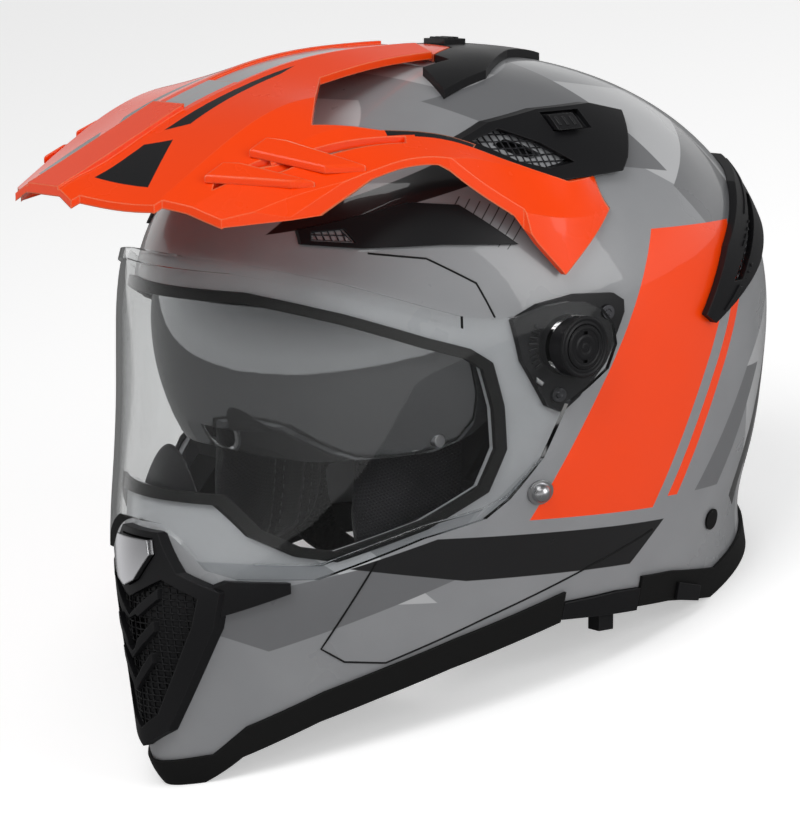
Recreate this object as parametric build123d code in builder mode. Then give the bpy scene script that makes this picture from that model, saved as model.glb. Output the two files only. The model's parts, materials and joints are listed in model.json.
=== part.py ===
from build123d import *

import os
from functools import lru_cache
from math import atan2, cos, radians, sin, sqrt, tan

# Dual sport helmet, in millimetres.
# It is drawn as it is worn: the shield's pivot axis is the X axis through the origin,
# the face looks along -Y, the wearer's left is +X and up is +Z. At the end every piece
# is tipped back onto the edge of the helmet that touches a table.

# Overall shape of the shell
crown_height = 113.0
front_reach = 114.0
rear_reach = 180.0
shell_half = 126.0
widest_back = 47.0
crown_forward = 14.0
chin_depth = 200.0
shell_wall = 3.5

# Each level below the pivot: depth, front, rear and width as shares, and how round the front is
level_shares = [
    (1.00, 0.91, 0.60, 0.66, 1.40),
    (0.84, 1.085, 0.74, 0.745, 1.46),
    (0.70, 1.112, 0.90, 0.81, 1.52),
    (0.56, 1.135, 0.985, 0.865, 1.60),
    (0.43, 1.115, 0.915, 0.91, 1.70),
    (0.29, 1.055, 0.955, 0.955, 1.80),
    (0.14, 1.015, 0.99, 0.985, 1.85),
    (0.00, 1.00, 1.00, 1.00, 1.87),
]
front_round = 1.87
crown_round = 2.0
back_round = 2.12
rise_front, rise_back, rise_side = 2.0, 2.05, 2.2
climb_degrees = [12, 24, 36, 48, 60, 70, 79, 85, 88]
outline_count = 24

# Standing on a table
stand_tilt = 17.4
chin_foot_share = -0.965
chin_foot_drop = 188.5
rear_foot_share = 0.567

# Clearances and overruns
skin_gap = 0.2
seat_gap = 0.3
swing_gap = 0.05
overrun = 260.0
measure_step = 0.2

# Edge trim and seals
trim_height = 8.5
trim_lip = 5.0
trim_wall = 1.6
seal_width = 3.2
seal_wall = 2.0
seal_lap = 1.2

# Shield
shield_gap = 3.3
shield_side_gap = 3.5
shield_wall = 2.6
rim_height = 5.0
rim_proud = 1.5

# Pivots
hub_radius = 12.6
hub_height = 12.6
knob_radius = 9.0
knob_depth = 4.5
knob_proud = 0.6
coin_slot_length = 13.0
coin_slot_width = 2.4
coin_slot_depth = 1.6
plate_wall = 2.8
screw_radius = 2.9
screw_proud = 1.2
screw_shares = [(0.096, 0.11), (-0.035, -0.102)]
stud_radius = 5.2
stud_ball = 4.2
stud_share = (-0.05, -0.31)
plug_radius = 4.6
plug_share = (0.53, -0.428)

# Sun visor, part of a spheroid about its own pivot axis
visor_round = 99.5
visor_half = 105.5
visor_wall = 2.0
visor_gap = 1.2
visor_pin_radius = 2.5
visor_pin_flange = 4.8
visor_pin_head = 1.8
visor_boss_radius = 9.0
rivet_radius = 2.6
rivet_head = 1.2
visor_rivet_share = (-0.35, -0.2)

# Sun visor lever
lever_travel = 16.0
lever_length = 8.0
lever_width = 7.0
lever_drop = 7.0
lever_stem = 3.0
lever_rest_share = 0.205
lever_plate_low_share = -0.5975
lever_inset = 9.0

# Foam and pads
foam_gap = 0.4
foam_wall = 28.0
chin_foam_wall = 17.0
liner_gap = 0.5
liner_wall = 8.0
channel_depth = 4.5
channel_half = 3.5
pad_thickness = 24.0
pad_length = 84.0
pad_height = 84.0
pad_turn = 26.5
pad_middle_share = (0.583, -0.184, -0.33)
pad_room = 1.5
pad_channel_shares = [-0.16, 0.2]
pad_level_shares = [(0.0, 0.93), (0.3, 1.0), (0.72, 0.97), (0.93, 0.86), (1.0, 0.74)]
pad_outline_shares = [(-0.5, 0.0), (-0.49, 0.3), (-0.4, 0.46), (-0.2, 0.5), (0.1, 0.5), (0.36, 0.46),
               (0.48, 0.32), (0.5, 0.05), (0.47, -0.28), (0.33, -0.46), (0.05, -0.5), (-0.25, -0.49),
               (-0.43, -0.38), (-0.49, -0.2)]
roll_thick = 18.0
roll_high = 21.0
roll_height_share = -0.455
roll_inset = 15.5
roll_spread = 82.0
roll_count = 13

# Straps
strap_width = 24.0
strap_wall = 2.0
strap_bend = 6.0
strap_back = 23.0
strap_rivet_radius = 3.0
strap_rivet_head = 6.0
strap_rivet_share = -0.4475
strap_rivet_depth = 3.4
strap_line_shares = [(0.825, -0.41), (0.825, -0.485), (0.77, -0.53), (0.76, -0.57), (0.48, -0.61)]
strap_end_share = 0.02
ring_share = 0.21
ring_wire = 3.0
ring_corner = 4.5
ring_reach = 21.0
ring_play = 2.4
loop_wall = 1.4

# Vents
vent_proud = 3.6
vent_low = 1.2
vent_floor = 1.2
frame_proud = 5.0
inset_wall = 2.2
chevron_proud = 5.4
chevron_rise = 0.065
chevron_thick = 0.022
button_proud = 8.0
button_gap = 0.4
button_travel = 2.0
slider_proud = 2.2
crown_slider_gap = 1.1
deflector_wall = 2.5
deflector_inset = 5.5
vent_hole_share = 0.5
inset_hole_share = 0.25
tail_half = 9.0

# Peak
peak_wall = 3.0
strip_raise = 2.4
strip_half = 13.0
channel_wide = 11.0
strip_end, channel_end = 4, 9
channel_sink = 1.2

# Outlines seen from the side, as shares of the reach forward or back and up or down
port_shares = [(-1.404, 0.159), (-0.904, 0.159), (-0.702, 0.097), (-0.474, 0.012), (-0.351, -0.015),
               (-0.289, -0.04), (-0.246, -0.125), (-0.228, -0.21), (-0.272, -0.29), (-0.447, -0.36),
               (-0.702, -0.425), (-0.807, -0.415), (-0.912, -0.38), (-0.982, -0.315), (-1.404, -0.315)]
shield_shares = [(-1.404, 0.314), (-0.947, 0.301), (-0.728, 0.239), (-0.509, 0.159), (-0.404, 0.124),
                 (-0.298, 0.108), (-0.211, 0.115), (-0.114, 0.15), (-0.03, 0.162), (0.022, 0.158),
                 (0.062, 0.128), (0.088, 0.07), (0.095, 0.0), (0.075, -0.05), (0.03, -0.085),
                 (-0.03, -0.118), (-0.105, -0.229), (-0.207, -0.312), (-0.281, -0.352),
                 (-0.474, -0.39), (-0.614, -0.43), (-0.772, -0.475), (-0.982, -0.479),
                 (-1.044, -0.465), (-1.123, -0.375), (-1.404, -0.375)]
rim_shares = [(-1.404, 0.314), (-0.947, 0.301), (-0.728, 0.239), (-0.509, 0.159), (-0.404, 0.124)]
base_shares = [(-0.947, -0.8968), (-0.87, -0.8335), (-0.661, -0.755), (-0.485, -0.705),
               (-0.268, -0.647), (0.078, -0.558), (0.211, -0.546), (0.389, -0.548)]
crown_vent_shares = [(-0.246, 0.708), (-0.07, 0.783), (0.089, 0.823), (0.25, 0.836), (0.339, 0.805),
                     (0.3, 0.726), (0.256, 0.646), (0.222, 0.602), (0.05, 0.58), (-0.035, 0.624)]
crown_mouth_shares = [(-0.167, 0.721), (-0.053, 0.761), (0.04, 0.71), (0.1, 0.64), (0.033, 0.621),
                      (-0.053, 0.65)]
crown_pocket_shares = [(0.09, 0.745), (0.2, 0.752), (0.2, 0.818), (0.09, 0.812)]
crown_slider_shares = [(0.094, 0.751), (0.161, 0.757), (0.161, 0.809), (0.094, 0.804)]
exhaust_shares = [(0.785, 0.593), (0.885, 0.496), (0.845, 0.389), (0.67, 0.212), (0.435, 0.027),
                  (0.4, 0.062), (0.51, 0.301), (0.665, 0.513)]
exhaust_slot_shares = [(0.515, 0.17), (0.555, 0.17), (0.755, 0.45), (0.715, 0.47)]
plate_shares = [(-0.202, 0.097), (-0.105, 0.15), (0.022, 0.18), (0.117, 0.177), (0.144, 0.15),
                (0.144, 0.106), (0.094, -0.04), (0.033, -0.11), (-0.009, -0.14), (-0.07, -0.125),
                (-0.167, -0.03)]
brow_vent_shares = [(-0.754, 0.363), (-0.746, 0.412), (-0.632, 0.451), (-0.439, 0.513),
                    (-0.298, 0.504), (-0.14, 0.363), (-0.386, 0.367), (-0.614, 0.354)]
brow_slot_shares = [(-0.728, 0.376), (-0.719, 0.407), (-0.64, 0.42), (-0.623, 0.372)]
winglet_shares = [(-0.825, -0.487), (-0.982, -0.487), (-1.061, -0.52), (-1.079, -0.605), (-0.982, -0.56),
                  (-0.82, -0.51)]
clip_shares = [(0.41, -0.55), (0.5, -0.57), (0.5, -0.605), (0.41, -0.59)]
foam_shares = [(-1.3, 0.195), (-0.6, 0.185), (-0.19, 0.12), (-0.15, -0.1), (-0.17, -0.32),
               (0.12, -0.4), (0.5, -0.4), (1.3, -0.38), (1.3, 1.2), (-1.3, 1.2)]
chin_foam_shares = [(-1.3, -0.34), (-0.98, -0.34), (-0.9, -0.405), (-0.8, -0.445), (-0.7, -0.455),
                    (-0.45, -0.4), (-0.28, -0.35), (-0.28, -0.7), (-1.3, -1.2)]
visor_path_shares = [(-1.1, -0.3), (-0.16, -0.3), (0.067, -0.06), (0.067, 0.12), (-0.07, 0.4),
                     (-0.48, 0.78), (-0.61, 0.84), (-1.14, 0.62)]
visor_shares = [(-1.1, 0.124), (-0.3, 0.13), (-0.12, 0.1), (0.0, 0.08), (0.0, -0.045), (-0.1, -0.1),
                (-0.24, -0.19), (-0.35, -0.225), (-0.66, -0.255), (-0.735, -0.25), (-0.775, -0.2),
                (-1.1, -0.2)]
crown_pad_shares = [(-0.42, 0.42), (0.1, 0.36), (0.5, 0.36), (0.62, 0.42), (0.62, 1.2), (-0.42, 1.2)]
channel_shares = [-0.12, 0.2, 0.42]
lever_room_shares = [(0.072, -0.5), (0.285, -0.5), (0.285, -0.7), (0.072, -0.7)]
deflector_shares = [(-1.3, -0.21), (-0.985, -0.21), (-0.985, -0.3385), (-1.3, -0.3385)]

# Outlines seen from the front, half of each
chin_frame_shares = [(0.0, -0.395), (0.1, -0.395), (0.18, -0.475), (0.302, -0.51), (0.27, -0.59),
                     (0.095, -0.82), (0.0, -0.86)]
chin_inset_shares = [(0.0, -0.535), (0.06, -0.515), (0.13, -0.49), (0.24, -0.525), (0.214, -0.585),
                     (0.071, -0.785), (0.0, -0.82)]
button_shares = [(0.0, -0.41), (0.085, -0.41), (0.1, -0.44), (0.045, -0.495), (0.0, -0.51)]
chevron_shares = [(-0.575, 0.12), (-0.645, 0.1), (-0.715, 0.08)]
deflector_half = 22.0

# Outlines seen from above, half of each
top_vent_shares = [(0.0, 0.145), (0.135, 0.137), (0.198, 0.047), (0.275, 0.047), (0.275, -0.053),
                   (0.444, -0.105), (0.413, 0.078), (0.222, 0.256), (0.079, 0.444), (0.0, 0.478)]
top_pocket_shares = [(0.0, 0.152), (0.06, 0.152), (0.06, 0.272), (0.0, 0.272)]
top_slider_shares = [(0.0, 0.156), (0.056, 0.156), (0.056, 0.222), (0.0, 0.222)]
bridge_end_shares = [(0.0, 0.042), (0.2, 0.042), (0.2, 0.5), (0.0, 0.5)]
rear_piece_shares = [(0.0, 0.047), (0.19, 0.047), (0.13, 0.13), (0.0, 0.139)]

# The peak's upper face at each place along it: the height of its middle, then how far out and
# how high its crease, its panel, its fold, its lower edge and its wing are
peak_section_shares = [
    (-1.561, 0.549, [(0.397, 0.389), (0.452, 0.354), (0.492, 0.319), (0.5, 0.292), (0.508, 0.212)]),
    (-1.351, 0.651, [(0.397, 0.537), (0.484, 0.478), (0.556, 0.42), (0.563, 0.381), (0.571, 0.301)]),
    (-1.219, 0.717, [(0.397, 0.628), (0.5, 0.558), (0.595, 0.473), (0.611, 0.425), (0.627, 0.336)]),
    (-0.982, 0.836, [(0.397, 0.779), (0.54, 0.681), (0.667, 0.566), (0.698, 0.478), (0.722, 0.381)]),
    (-0.746, 0.925, [(0.397, 0.872), (0.571, 0.779), (0.754, 0.628), (0.794, 0.527), (0.825, 0.407)]),
    (-0.544, 0.985, [(0.413, 0.894), (0.611, 0.796), (0.817, 0.668), (0.865, 0.54), (0.905, 0.398)]),
    (-0.281, 1.027, [(0.429, 0.92), (0.635, 0.823), (0.802, 0.673), (0.897, 0.509), (0.937, 0.372)]),
    (-0.044, 1.041, [(0.444, 0.929), (0.651, 0.832), (0.841, 0.611), (0.921, 0.46), (0.96, 0.265)]),
    (0.111, 1.041, [(0.444, 0.929), (0.667, 0.832), (0.865, 0.602), (0.929, 0.46), (0.96, 0.31)]),
    (0.256, 1.009, [(0.444, 0.912), (0.683, 0.814), (0.869, 0.611), (0.921, 0.487), (0.952, 0.336)]),
]
peak_front_shares = [(0.0, -1.523), (0.163, -1.523), (0.168, -1.49), (0.397, -1.351), (0.403, -1.322),
                     (0.579, -1.211), (0.683, -1.0), (0.762, -0.675), (0.81, -0.407), (0.9, -0.15),
                     (1.2, 0.0), (1.2, 0.3), (0.0, 0.3)]
peak_low_shares = [(-1.7, 0.2), (-1.36, 0.36), (-1.202, 0.464), (-0.675, 0.522), (-0.404, 0.535),
                   (-0.184, 0.471), (-0.114, 0.369), (-0.012, 0.253), (0.007, 0.271), (0.111, 0.41),
                   (0.211, 0.549), (0.231, 0.609), (0.231, 1.6), (-1.7, 1.6)]
peak_gap_shares = [(0.262, -0.518), (0.52, -0.772), (0.635, -0.566), (0.746, -0.24), (0.825, 0.017),
                   (0.873, 0.228), (0.9, 0.4), (0.19, 0.4), (0.19, 0.042)]
louvre_shares = [[(0.571, -1.03), (0.714, -0.52), (0.687, -0.5), (0.548, -1.0)],
                 [(0.492, -1.18), (0.556, -0.98), (0.532, -0.965), (0.472, -1.15)]]


def reach_point(forward_share, up_share):
    """A point seen from the side, from its shares of the four reaches."""
    along = forward_share * (front_reach if forward_share < 0 else rear_reach)
    height = up_share * (crown_height if up_share > 0 else chin_depth)
    return along, height


def side_points(shares):
    return [reach_point(*share) for share in shares]


def front_points(shares):
    """A whole outline seen from the front, from the shares of its left half."""
    half = [(shell_half * across, reach_point(0, up)[1]) for across, up in shares]
    return half + [(-across, up) for across, up in reversed(half) if across > 0]


def left_points(shares):
    """An outline seen from above that lies on the left only."""
    return [(shell_half * across, reach_point(along, 0)[0]) for across, along in shares]


def top_points(shares):
    """A whole outline seen from above, from the shares of its left half."""
    half = left_points(shares)
    return half + [(-across, along) for across, along in reversed(half) if across > 0]


def shrink(points, share):
    """The same outline drawn smaller about its middle."""
    middle_a = sum(point[0] for point in points) / len(points)
    middle_b = sum(point[1] for point in points) / len(points)
    return [(middle_a + share * (a - middle_a), middle_b + share * (b - middle_b)) for a, b in points]


def level_outline(front, rear, half, middle, round_front):
    """One level outline of the shell, rounder behind and more pointed in front."""
    points = []
    for step in range(outline_count):
        points.append(outline_point(360 * step / outline_count, front, rear, half, middle, round_front))
    return points


def outline_point(turned, front, rear, half, middle, round_front):
    turn = radians(turned)
    back, across = cos(turn), sin(turn)
    roundness = back_round if back >= 0 else round_front
    span = rear - middle if back >= 0 else front + middle
    y = middle + span * (1 if back >= 0 else -1) * abs(back) ** (2 / roundness)
    x = half * (1 if across >= 0 else -1) * abs(across) ** (2 / roundness)
    return x, y


def levels(offset, side):
    """Height and outline sizes of every level of the skin that lies at this offset."""
    found = []
    for depth, front, rear, width, roundness in level_shares:
        back = widest_back + (rear_reach - widest_back) * rear
        found.append((-chin_depth * depth, front_reach * front + offset, back + offset,
                      shell_half * width + offset + side, widest_back, roundness))
    for climb in climb_degrees:
        rise = sin(radians(climb))
        shares = [(1 - rise ** power) ** (1 / power) for power in (rise_front, rise_back, rise_side)]
        middle = widest_back - crown_forward * rise ** 2
        found.append(((crown_height + offset) * rise,
                      (front_reach + middle + offset) * shares[0] - middle,
                      middle + (rear_reach - middle + offset) * shares[1],
                      (shell_half + offset + side) * shares[2], middle,
                      front_round + (crown_round - front_round) * rise))
    return found


spline_marks = [step / outline_count for step in range(outline_count + 1)]


@lru_cache(maxsize=None)
def skin(offset, side=0.0):
    """The whole head-shaped solid whose face lies at this offset from the shell's outer face."""
    with BuildPart() as body:
        for height, front, rear, half, middle, roundness in levels(offset, side):
            with BuildSketch(Plane.XY.offset(height)):
                with BuildLine():
                    add(Edge.make_spline(level_outline(front, rear, half, middle, roundness),
                                         periodic=True, parameters=spline_marks))
                make_face()
        loft()
    return body.part


def level_at(z, offset):
    """Outline sizes of the skin at one height."""
    rows = levels(offset, 0.0)
    for low, high in zip(rows, rows[1:]):
        if low[0] <= z <= high[0]:
            share = (z - low[0]) / (high[0] - low[0])
            return [a + share * (b - a) for a, b in zip(low, high)][1:]
    return rows[-1][1:]


def half_width(y, z, offset=0.0):
    """How far out the skin lies at a place seen from the side."""
    front, rear, half, middle, roundness = level_at(z, offset)
    power = back_round if y > middle else roundness
    span = rear - middle if y > middle else front + middle
    return half * (1 - (abs(y - middle) / span) ** power) ** (1 / power)


def bar(points, view=Plane.YZ, both=False):
    """A long straight bar with this outline, to cut or keep with."""
    with BuildPart() as solid:
        with BuildSketch(view):
            with BuildLine():
                Polyline(*points, close=True)
            make_face()
        extrude(amount=overrun, both=both)
    return solid.part


def grown_bar(points, growth, view=Plane.YZ, both=False):
    """The same bar with its outline moved outwards."""
    with BuildPart() as solid:
        with BuildSketch(view):
            with BuildLine():
                Polyline(*points, close=True)
            make_face()
            offset(amount=growth, kind=Kind.INTERSECTION)
        extrude(amount=overrun, both=both)
    return solid.part


def wrapped(points, inner, outer, view=Plane.YZ, both=False, side=0.0):
    """A piece that wraps the shell between two offsets, inside an outline."""
    with BuildPart() as piece:
        add(bar(points, view, both))
        add(skin(outer, side), mode=Mode.INTERSECT)
        add(skin(inner, side), mode=Mode.SUBTRACT)
    return piece.part


def other_side(piece):
    """The right-hand piece that pairs with a left-hand one."""
    return mirror(piece, about=Plane.YZ)


def rod(y, z, radius, start, end):
    """A round rod along X."""
    with BuildPart() as solid:
        with BuildSketch(Plane.YZ.offset(start)):
            with Locations((y, z)):
                Circle(radius)
        extrude(amount=end - start)
    return solid.part


def block(low, high):
    """A box between two corners."""
    with BuildPart() as solid:
        with Locations(tuple((a + b) / 2 for a, b in zip(low, high))):
            Box(*[b - a for a, b in zip(low, high)])
    return solid.part


kept = {}


def keep(name, piece):
    """Label a finished piece and set it aside for the last step."""
    piece.part.label = name
    kept[name] = piece.part
    print(name, len(piece.part.solids()), "solids", round(piece.part.volume), "mm3")


def floor_height(y):
    """Height of the table top under the worn helmet, before it is tipped back."""
    return -chin_foot_drop + (y - front_reach * chin_foot_share) * tan(radians(stand_tilt))


def below(line, drop):
    """The outline of everything under a line that is lowered by drop."""
    lowered = [(y, z - drop) for y, z in line]
    return lowered + [(overrun, -2 * overrun), (-overrun, -2 * overrun)]


rear_foot_start = rear_reach * rear_foot_share
base_line = [(-overrun, floor_height(-overrun) + trim_height)] + side_points(base_shares)
base_line += [(rear_foot_start, floor_height(rear_foot_start) + trim_height),
              (overrun, floor_height(overrun) + trim_height)]
under_base = bar(below(base_line, 0), both=True)
port_points = side_points(port_shares)
chin_frame_points = front_points(chin_frame_shares)
chin_inset_points = front_points(chin_inset_shares)
crown_vent_points = side_points(crown_vent_shares)
crown_mouth_points = side_points(crown_mouth_shares)
exhaust_points = side_points(exhaust_shares)
exhaust_slot_points = side_points(exhaust_slot_shares)
top_vent_points = top_points(top_vent_shares)

# Shell
with BuildPart() as outer_shell:
    add(skin(0.0))
    add(skin(-shell_wall), mode=Mode.SUBTRACT)
    add(under_base, mode=Mode.SUBTRACT)
    add(bar(port_points, both=True), mode=Mode.SUBTRACT)
    add(bar(shrink(chin_inset_points, vent_hole_share), Plane.XZ), mode=Mode.SUBTRACT)
    add(bar(shrink(crown_mouth_points, vent_hole_share), both=True), mode=Mode.SUBTRACT)
    add(bar(shrink(exhaust_slot_points, vent_hole_share), both=True), mode=Mode.SUBTRACT)
keep("outer_shell", outer_shell)

# Rubber trim that grips the shell's lower edge
with BuildPart() as edge_room:
    add(skin(skin_gap))
    add(skin(-shell_wall - skin_gap), mode=Mode.SUBTRACT)
    add(under_base, mode=Mode.SUBTRACT)
with BuildPart() as base_trim:
    add(skin(skin_gap + trim_wall))
    add(skin(-shell_wall - skin_gap - trim_wall), mode=Mode.SUBTRACT)
    add(bar(below(base_line, -trim_lip), both=True), mode=Mode.INTERSECT)
    add(bar(below(base_line, trim_height), both=True), mode=Mode.SUBTRACT)
    add(bar(side_points(lever_room_shares)), mode=Mode.SUBTRACT)
    add(edge_room.part, mode=Mode.SUBTRACT)
keep("base_trim", base_trim)

# Seal round the eye port
with BuildPart() as eye_port_seal:
    add(grown_bar(port_points, seal_width, both=True))
    add(skin(skin_gap + seal_wall), mode=Mode.INTERSECT)
    add(skin(skin_gap), mode=Mode.SUBTRACT)
    add(grown_bar(port_points, -seal_lap, both=True), mode=Mode.SUBTRACT)
keep("eye_port_seal", eye_port_seal)

# Cheek pad, drawn on a plane that follows the side of the head
turned = radians(pad_turn)
pad_x, pad_y, pad_z = pad_middle_share
pad_plane = Plane(origin=(shell_half * pad_x, front_reach * pad_y, chin_depth * pad_z),
                  x_dir=(sin(turned), cos(turned), 0), z_dir=(-cos(turned), sin(turned), 0))
with BuildPart() as left_pad:
    for depth_share, size in pad_level_shares:
        with BuildSketch(pad_plane.offset(pad_thickness * depth_share)):
            with BuildLine():
                Spline(*[(pad_length * size * a, pad_height * size * b) for a, b in pad_outline_shares],
                       periodic=True)
            make_face()
    loft()
    for place in pad_channel_shares:
        with BuildSketch(pad_plane.offset(pad_thickness - channel_depth)):
            with Locations((pad_length * place, 0)):
                Rectangle(2 * channel_half, 2 * pad_height)
        extrude(amount=pad_thickness, mode=Mode.SUBTRACT)
keep("cheek_pad_left", left_pad)
with BuildPart() as right_pad:
    add(other_side(left_pad.part))
keep("cheek_pad_right", right_pad)

# Foam that crushes in a fall, with room for the cheek pads and for the sun visor to swing up
foam_face = -shell_wall - foam_gap
visor_clear_half = visor_half - visor_wall - visor_gap
with BuildPart() as visor_clear:
    add(bar(side_points(visor_path_shares), both=True))
    with BuildSketch(Plane.XY):
        Ellipse(visor_clear_half, visor_round - visor_wall - visor_gap)
        split(bisect_by=Plane.XZ)
    revolve(axis=Axis.X, mode=Mode.SUBTRACT)
pin_room = rod(0, 0, visor_pin_flange + visor_gap, visor_clear_half - 2 * visor_pin_head, overrun)
with BuildPart() as pad_clear:
    with BuildSketch(pad_plane.offset(-seat_gap)):
        Rectangle(pad_length + 2 * pad_room, pad_height + 2 * pad_room)
    extrude(amount=shell_half)
with BuildPart() as eps_liner:
    add(bar(side_points(foam_shares), both=True))
    add(skin(foam_face), mode=Mode.INTERSECT)
    add(skin(foam_face - foam_wall), mode=Mode.SUBTRACT)
    add(visor_clear.part, mode=Mode.SUBTRACT)
    add([pin_room, other_side(pin_room)], mode=Mode.SUBTRACT)
    add([pad_clear.part, other_side(pad_clear.part)], mode=Mode.SUBTRACT)
keep("eps_liner", eps_liner)

with BuildPart() as eps_chin:
    add(bar(side_points(chin_foam_shares), both=True))
    add(skin(foam_face), mode=Mode.INTERSECT)
    add(skin(foam_face - chin_foam_wall), mode=Mode.SUBTRACT)
    add(bar(below(base_line, -trim_lip - seat_gap), both=True), mode=Mode.SUBTRACT)
keep("eps_chin", eps_chin)

# Crown pad with channels across it
pad_face = foam_face - foam_wall - liner_gap
with BuildPart() as channels:
    for share in channel_shares:
        y, _ = reach_point(share, 0)
        add(block((-overrun, y - channel_half, 0), (overrun, y + channel_half, overrun)))
    add(block((-channel_half, -overrun, 0), (channel_half, overrun, overrun)))
    add(skin(pad_face - liner_wall + channel_depth), mode=Mode.INTERSECT)
with BuildPart() as crown_pad:
    add(wrapped(side_points(crown_pad_shares), pad_face - liner_wall, pad_face, both=True))
    add(channels.part, mode=Mode.SUBTRACT)
keep("crown_pad", crown_pad)

# Neck roll along the rear edge
with BuildPart() as neck_roll:
    roll_level = level_at(chin_depth * roll_height_share, -roll_inset)
    with BuildLine() as roll_path:
        places = []
        for step in range(roll_count):
            turn = roll_spread * (2 * step / (roll_count - 1) - 1)
            x, y = outline_point(turn, *roll_level)
            places.append((x, y, chin_depth * roll_height_share))
        Spline(*places)
    with BuildSketch(Plane(origin=roll_path.line @ 0, x_dir=(0, 0, 1), z_dir=roll_path.line % 0)):
        Ellipse(roll_high / 2, roll_thick / 2)
    sweep()
keep("neck_roll", neck_roll)

# Chin straps, each riveted to the shell, one of them with two rings
rivet_drop = chin_depth * strap_rivet_share
strap_middle = strap_back + strap_width / 2


def strap(points):
    """A band along this line seen from the front, with its rivet hole."""
    with BuildPart() as band:
        with BuildSketch(Plane.XZ.offset(-strap_back)):
            with BuildLine() as line:
                FilletPolyline(*points, radius=strap_bend)
            trace(line_width=strap_wall)
        extrude(amount=-strap_width)
        add(rod(strap_middle, rivet_drop, strap_rivet_radius + swing_gap, 0, overrun), mode=Mode.SUBTRACT)
    return band.part


strap_line = [(shell_half * across, chin_depth * up) for across, up in strap_line_shares]
strap_level = strap_line[-1][1] - strap_wall * 2
ring_x = shell_half * ring_share
with BuildPart() as left_strap:
    add(strap(strap_line + [(shell_half * strap_end_share, strap_level)]))
keep("chin_strap_left", left_strap)
with BuildPart() as right_strap:
    add(other_side(strap(strap_line + [(ring_x, strap_level)])))
    with BuildSketch(Plane.XZ.offset(-strap_back)):
        with Locations((-ring_x + ring_wire, strap_level)):
            Circle(ring_wire + ring_play / 2 + loop_wall)
    extrude(amount=-strap_width)
    with BuildSketch(Plane.XZ.offset(-strap_back)):
        with Locations((-ring_x + ring_wire, strap_level)):
            Circle(ring_wire + ring_play / 2)
    extrude(amount=-strap_width, mode=Mode.SUBTRACT)
keep("chin_strap_right", right_strap)

with BuildPart() as d_rings:
    ring_half = strap_width / 2 + ring_wire
    ring_start = -ring_x + ring_wire / 2
    for lift in (-ring_wire - seat_gap / 2, seat_gap / 2):
        with BuildSketch(Plane.XY.offset(strap_level + lift)):
            with Locations((ring_start + ring_reach / 2, strap_middle)):
                RectangleRounded(ring_reach, 2 * ring_half, ring_corner)
                RectangleRounded(ring_reach - 2 * ring_wire, 2 * (ring_half - ring_wire), ring_wire / 2,
                                 mode=Mode.SUBTRACT)
        extrude(amount=ring_wire)
keep("d_rings", d_rings)

strap_top_x = strap_line[0][0]
with BuildPart() as left_rivet:
    add(rod(strap_middle, rivet_drop, strap_rivet_radius, strap_top_x - strap_rivet_depth, shell_half))
    add(rod(strap_middle, rivet_drop, strap_rivet_head, strap_top_x - strap_rivet_depth,
            strap_top_x - strap_wall / 2 - seat_gap / 2))
    add(skin(-shell_wall), mode=Mode.INTERSECT)
keep("strap_rivet_left", left_rivet)
with BuildPart() as right_rivet:
    add(other_side(left_rivet.part))
keep("strap_rivet_right", right_rivet)

# Pivot plates with the hubs that the shield turns on
hub_end = half_width(0, 0) + hub_height
screw_centres = side_points(screw_shares)
with BuildPart() as screw_rods:
    for y, z in screw_centres:
        add(rod(y, z, screw_radius, 0, overrun))
with BuildPart() as screw_holes:
    for y, z in screw_centres:
        add(rod(y, z, screw_radius + swing_gap, 0, overrun))
with BuildPart() as left_plate:
    add(rod(0, 0, hub_radius, hub_end - 2 * hub_height, hub_end))
    add(skin(skin_gap), mode=Mode.SUBTRACT)
    add(wrapped(side_points(plate_shares), skin_gap, plate_wall))
    add(rod(0, 0, knob_radius + swing_gap, hub_end - knob_depth, hub_end + hub_height), mode=Mode.SUBTRACT)
    add(screw_holes.part, mode=Mode.SUBTRACT)
keep("pivot_plate_left", left_plate)
with BuildPart() as left_screws:
    add(screw_rods.part)
    add(skin(plate_wall + screw_proud), mode=Mode.INTERSECT)
    add(skin(skin_gap), mode=Mode.SUBTRACT)
keep("pivot_screws_left", left_screws)
with BuildPart() as left_knob:
    add(rod(0, 0, knob_radius, hub_end - knob_depth + seat_gap, hub_end + knob_proud))
    with Locations((hub_end + knob_proud, 0, 0)):
        Box(2 * coin_slot_depth, coin_slot_width, coin_slot_length, mode=Mode.SUBTRACT)
keep("pivot_knob_left", left_knob)

# Stud for a snap and rubber plug, on each side
stud_y, stud_z = reach_point(*stud_share)
stud_x = half_width(stud_y, stud_z)
with BuildPart() as left_stud:
    add(rod(stud_y, stud_z, stud_radius, 0, overrun))
    add(skin(screw_proud), mode=Mode.INTERSECT)
    with Locations((stud_x + screw_proud, stud_y, stud_z)):
        Sphere(stud_ball)
    add(skin(skin_gap), mode=Mode.SUBTRACT)
keep("side_stud_left", left_stud)
plug_y, plug_z = reach_point(*plug_share)
with BuildPart() as left_plug:
    add(rod(plug_y, plug_z, plug_radius, 0, overrun))
    add(skin(screw_proud), mode=Mode.INTERSECT)
    add(skin(skin_gap), mode=Mode.SUBTRACT)
keep("rear_plug_left", left_plug)

# Face shield, one clear piece whose arms fit on the hubs
rim_points = side_points(rim_shares)
rim_outline = rim_points + [(y, z - rim_height) for y, z in reversed(rim_points)]
with BuildPart() as face_shield:
    add(wrapped(side_points(shield_shares), shield_gap, shield_gap + shield_wall, both=True,
                side=shield_side_gap))
    add(wrapped(rim_outline, shield_gap + shield_wall / 2, shield_gap + shield_wall + rim_proud,
                both=True, side=shield_side_gap))
    add(rod(0, 0, hub_radius + swing_gap, -overrun, overrun), mode=Mode.SUBTRACT)
keep("face_shield", face_shield)

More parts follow.
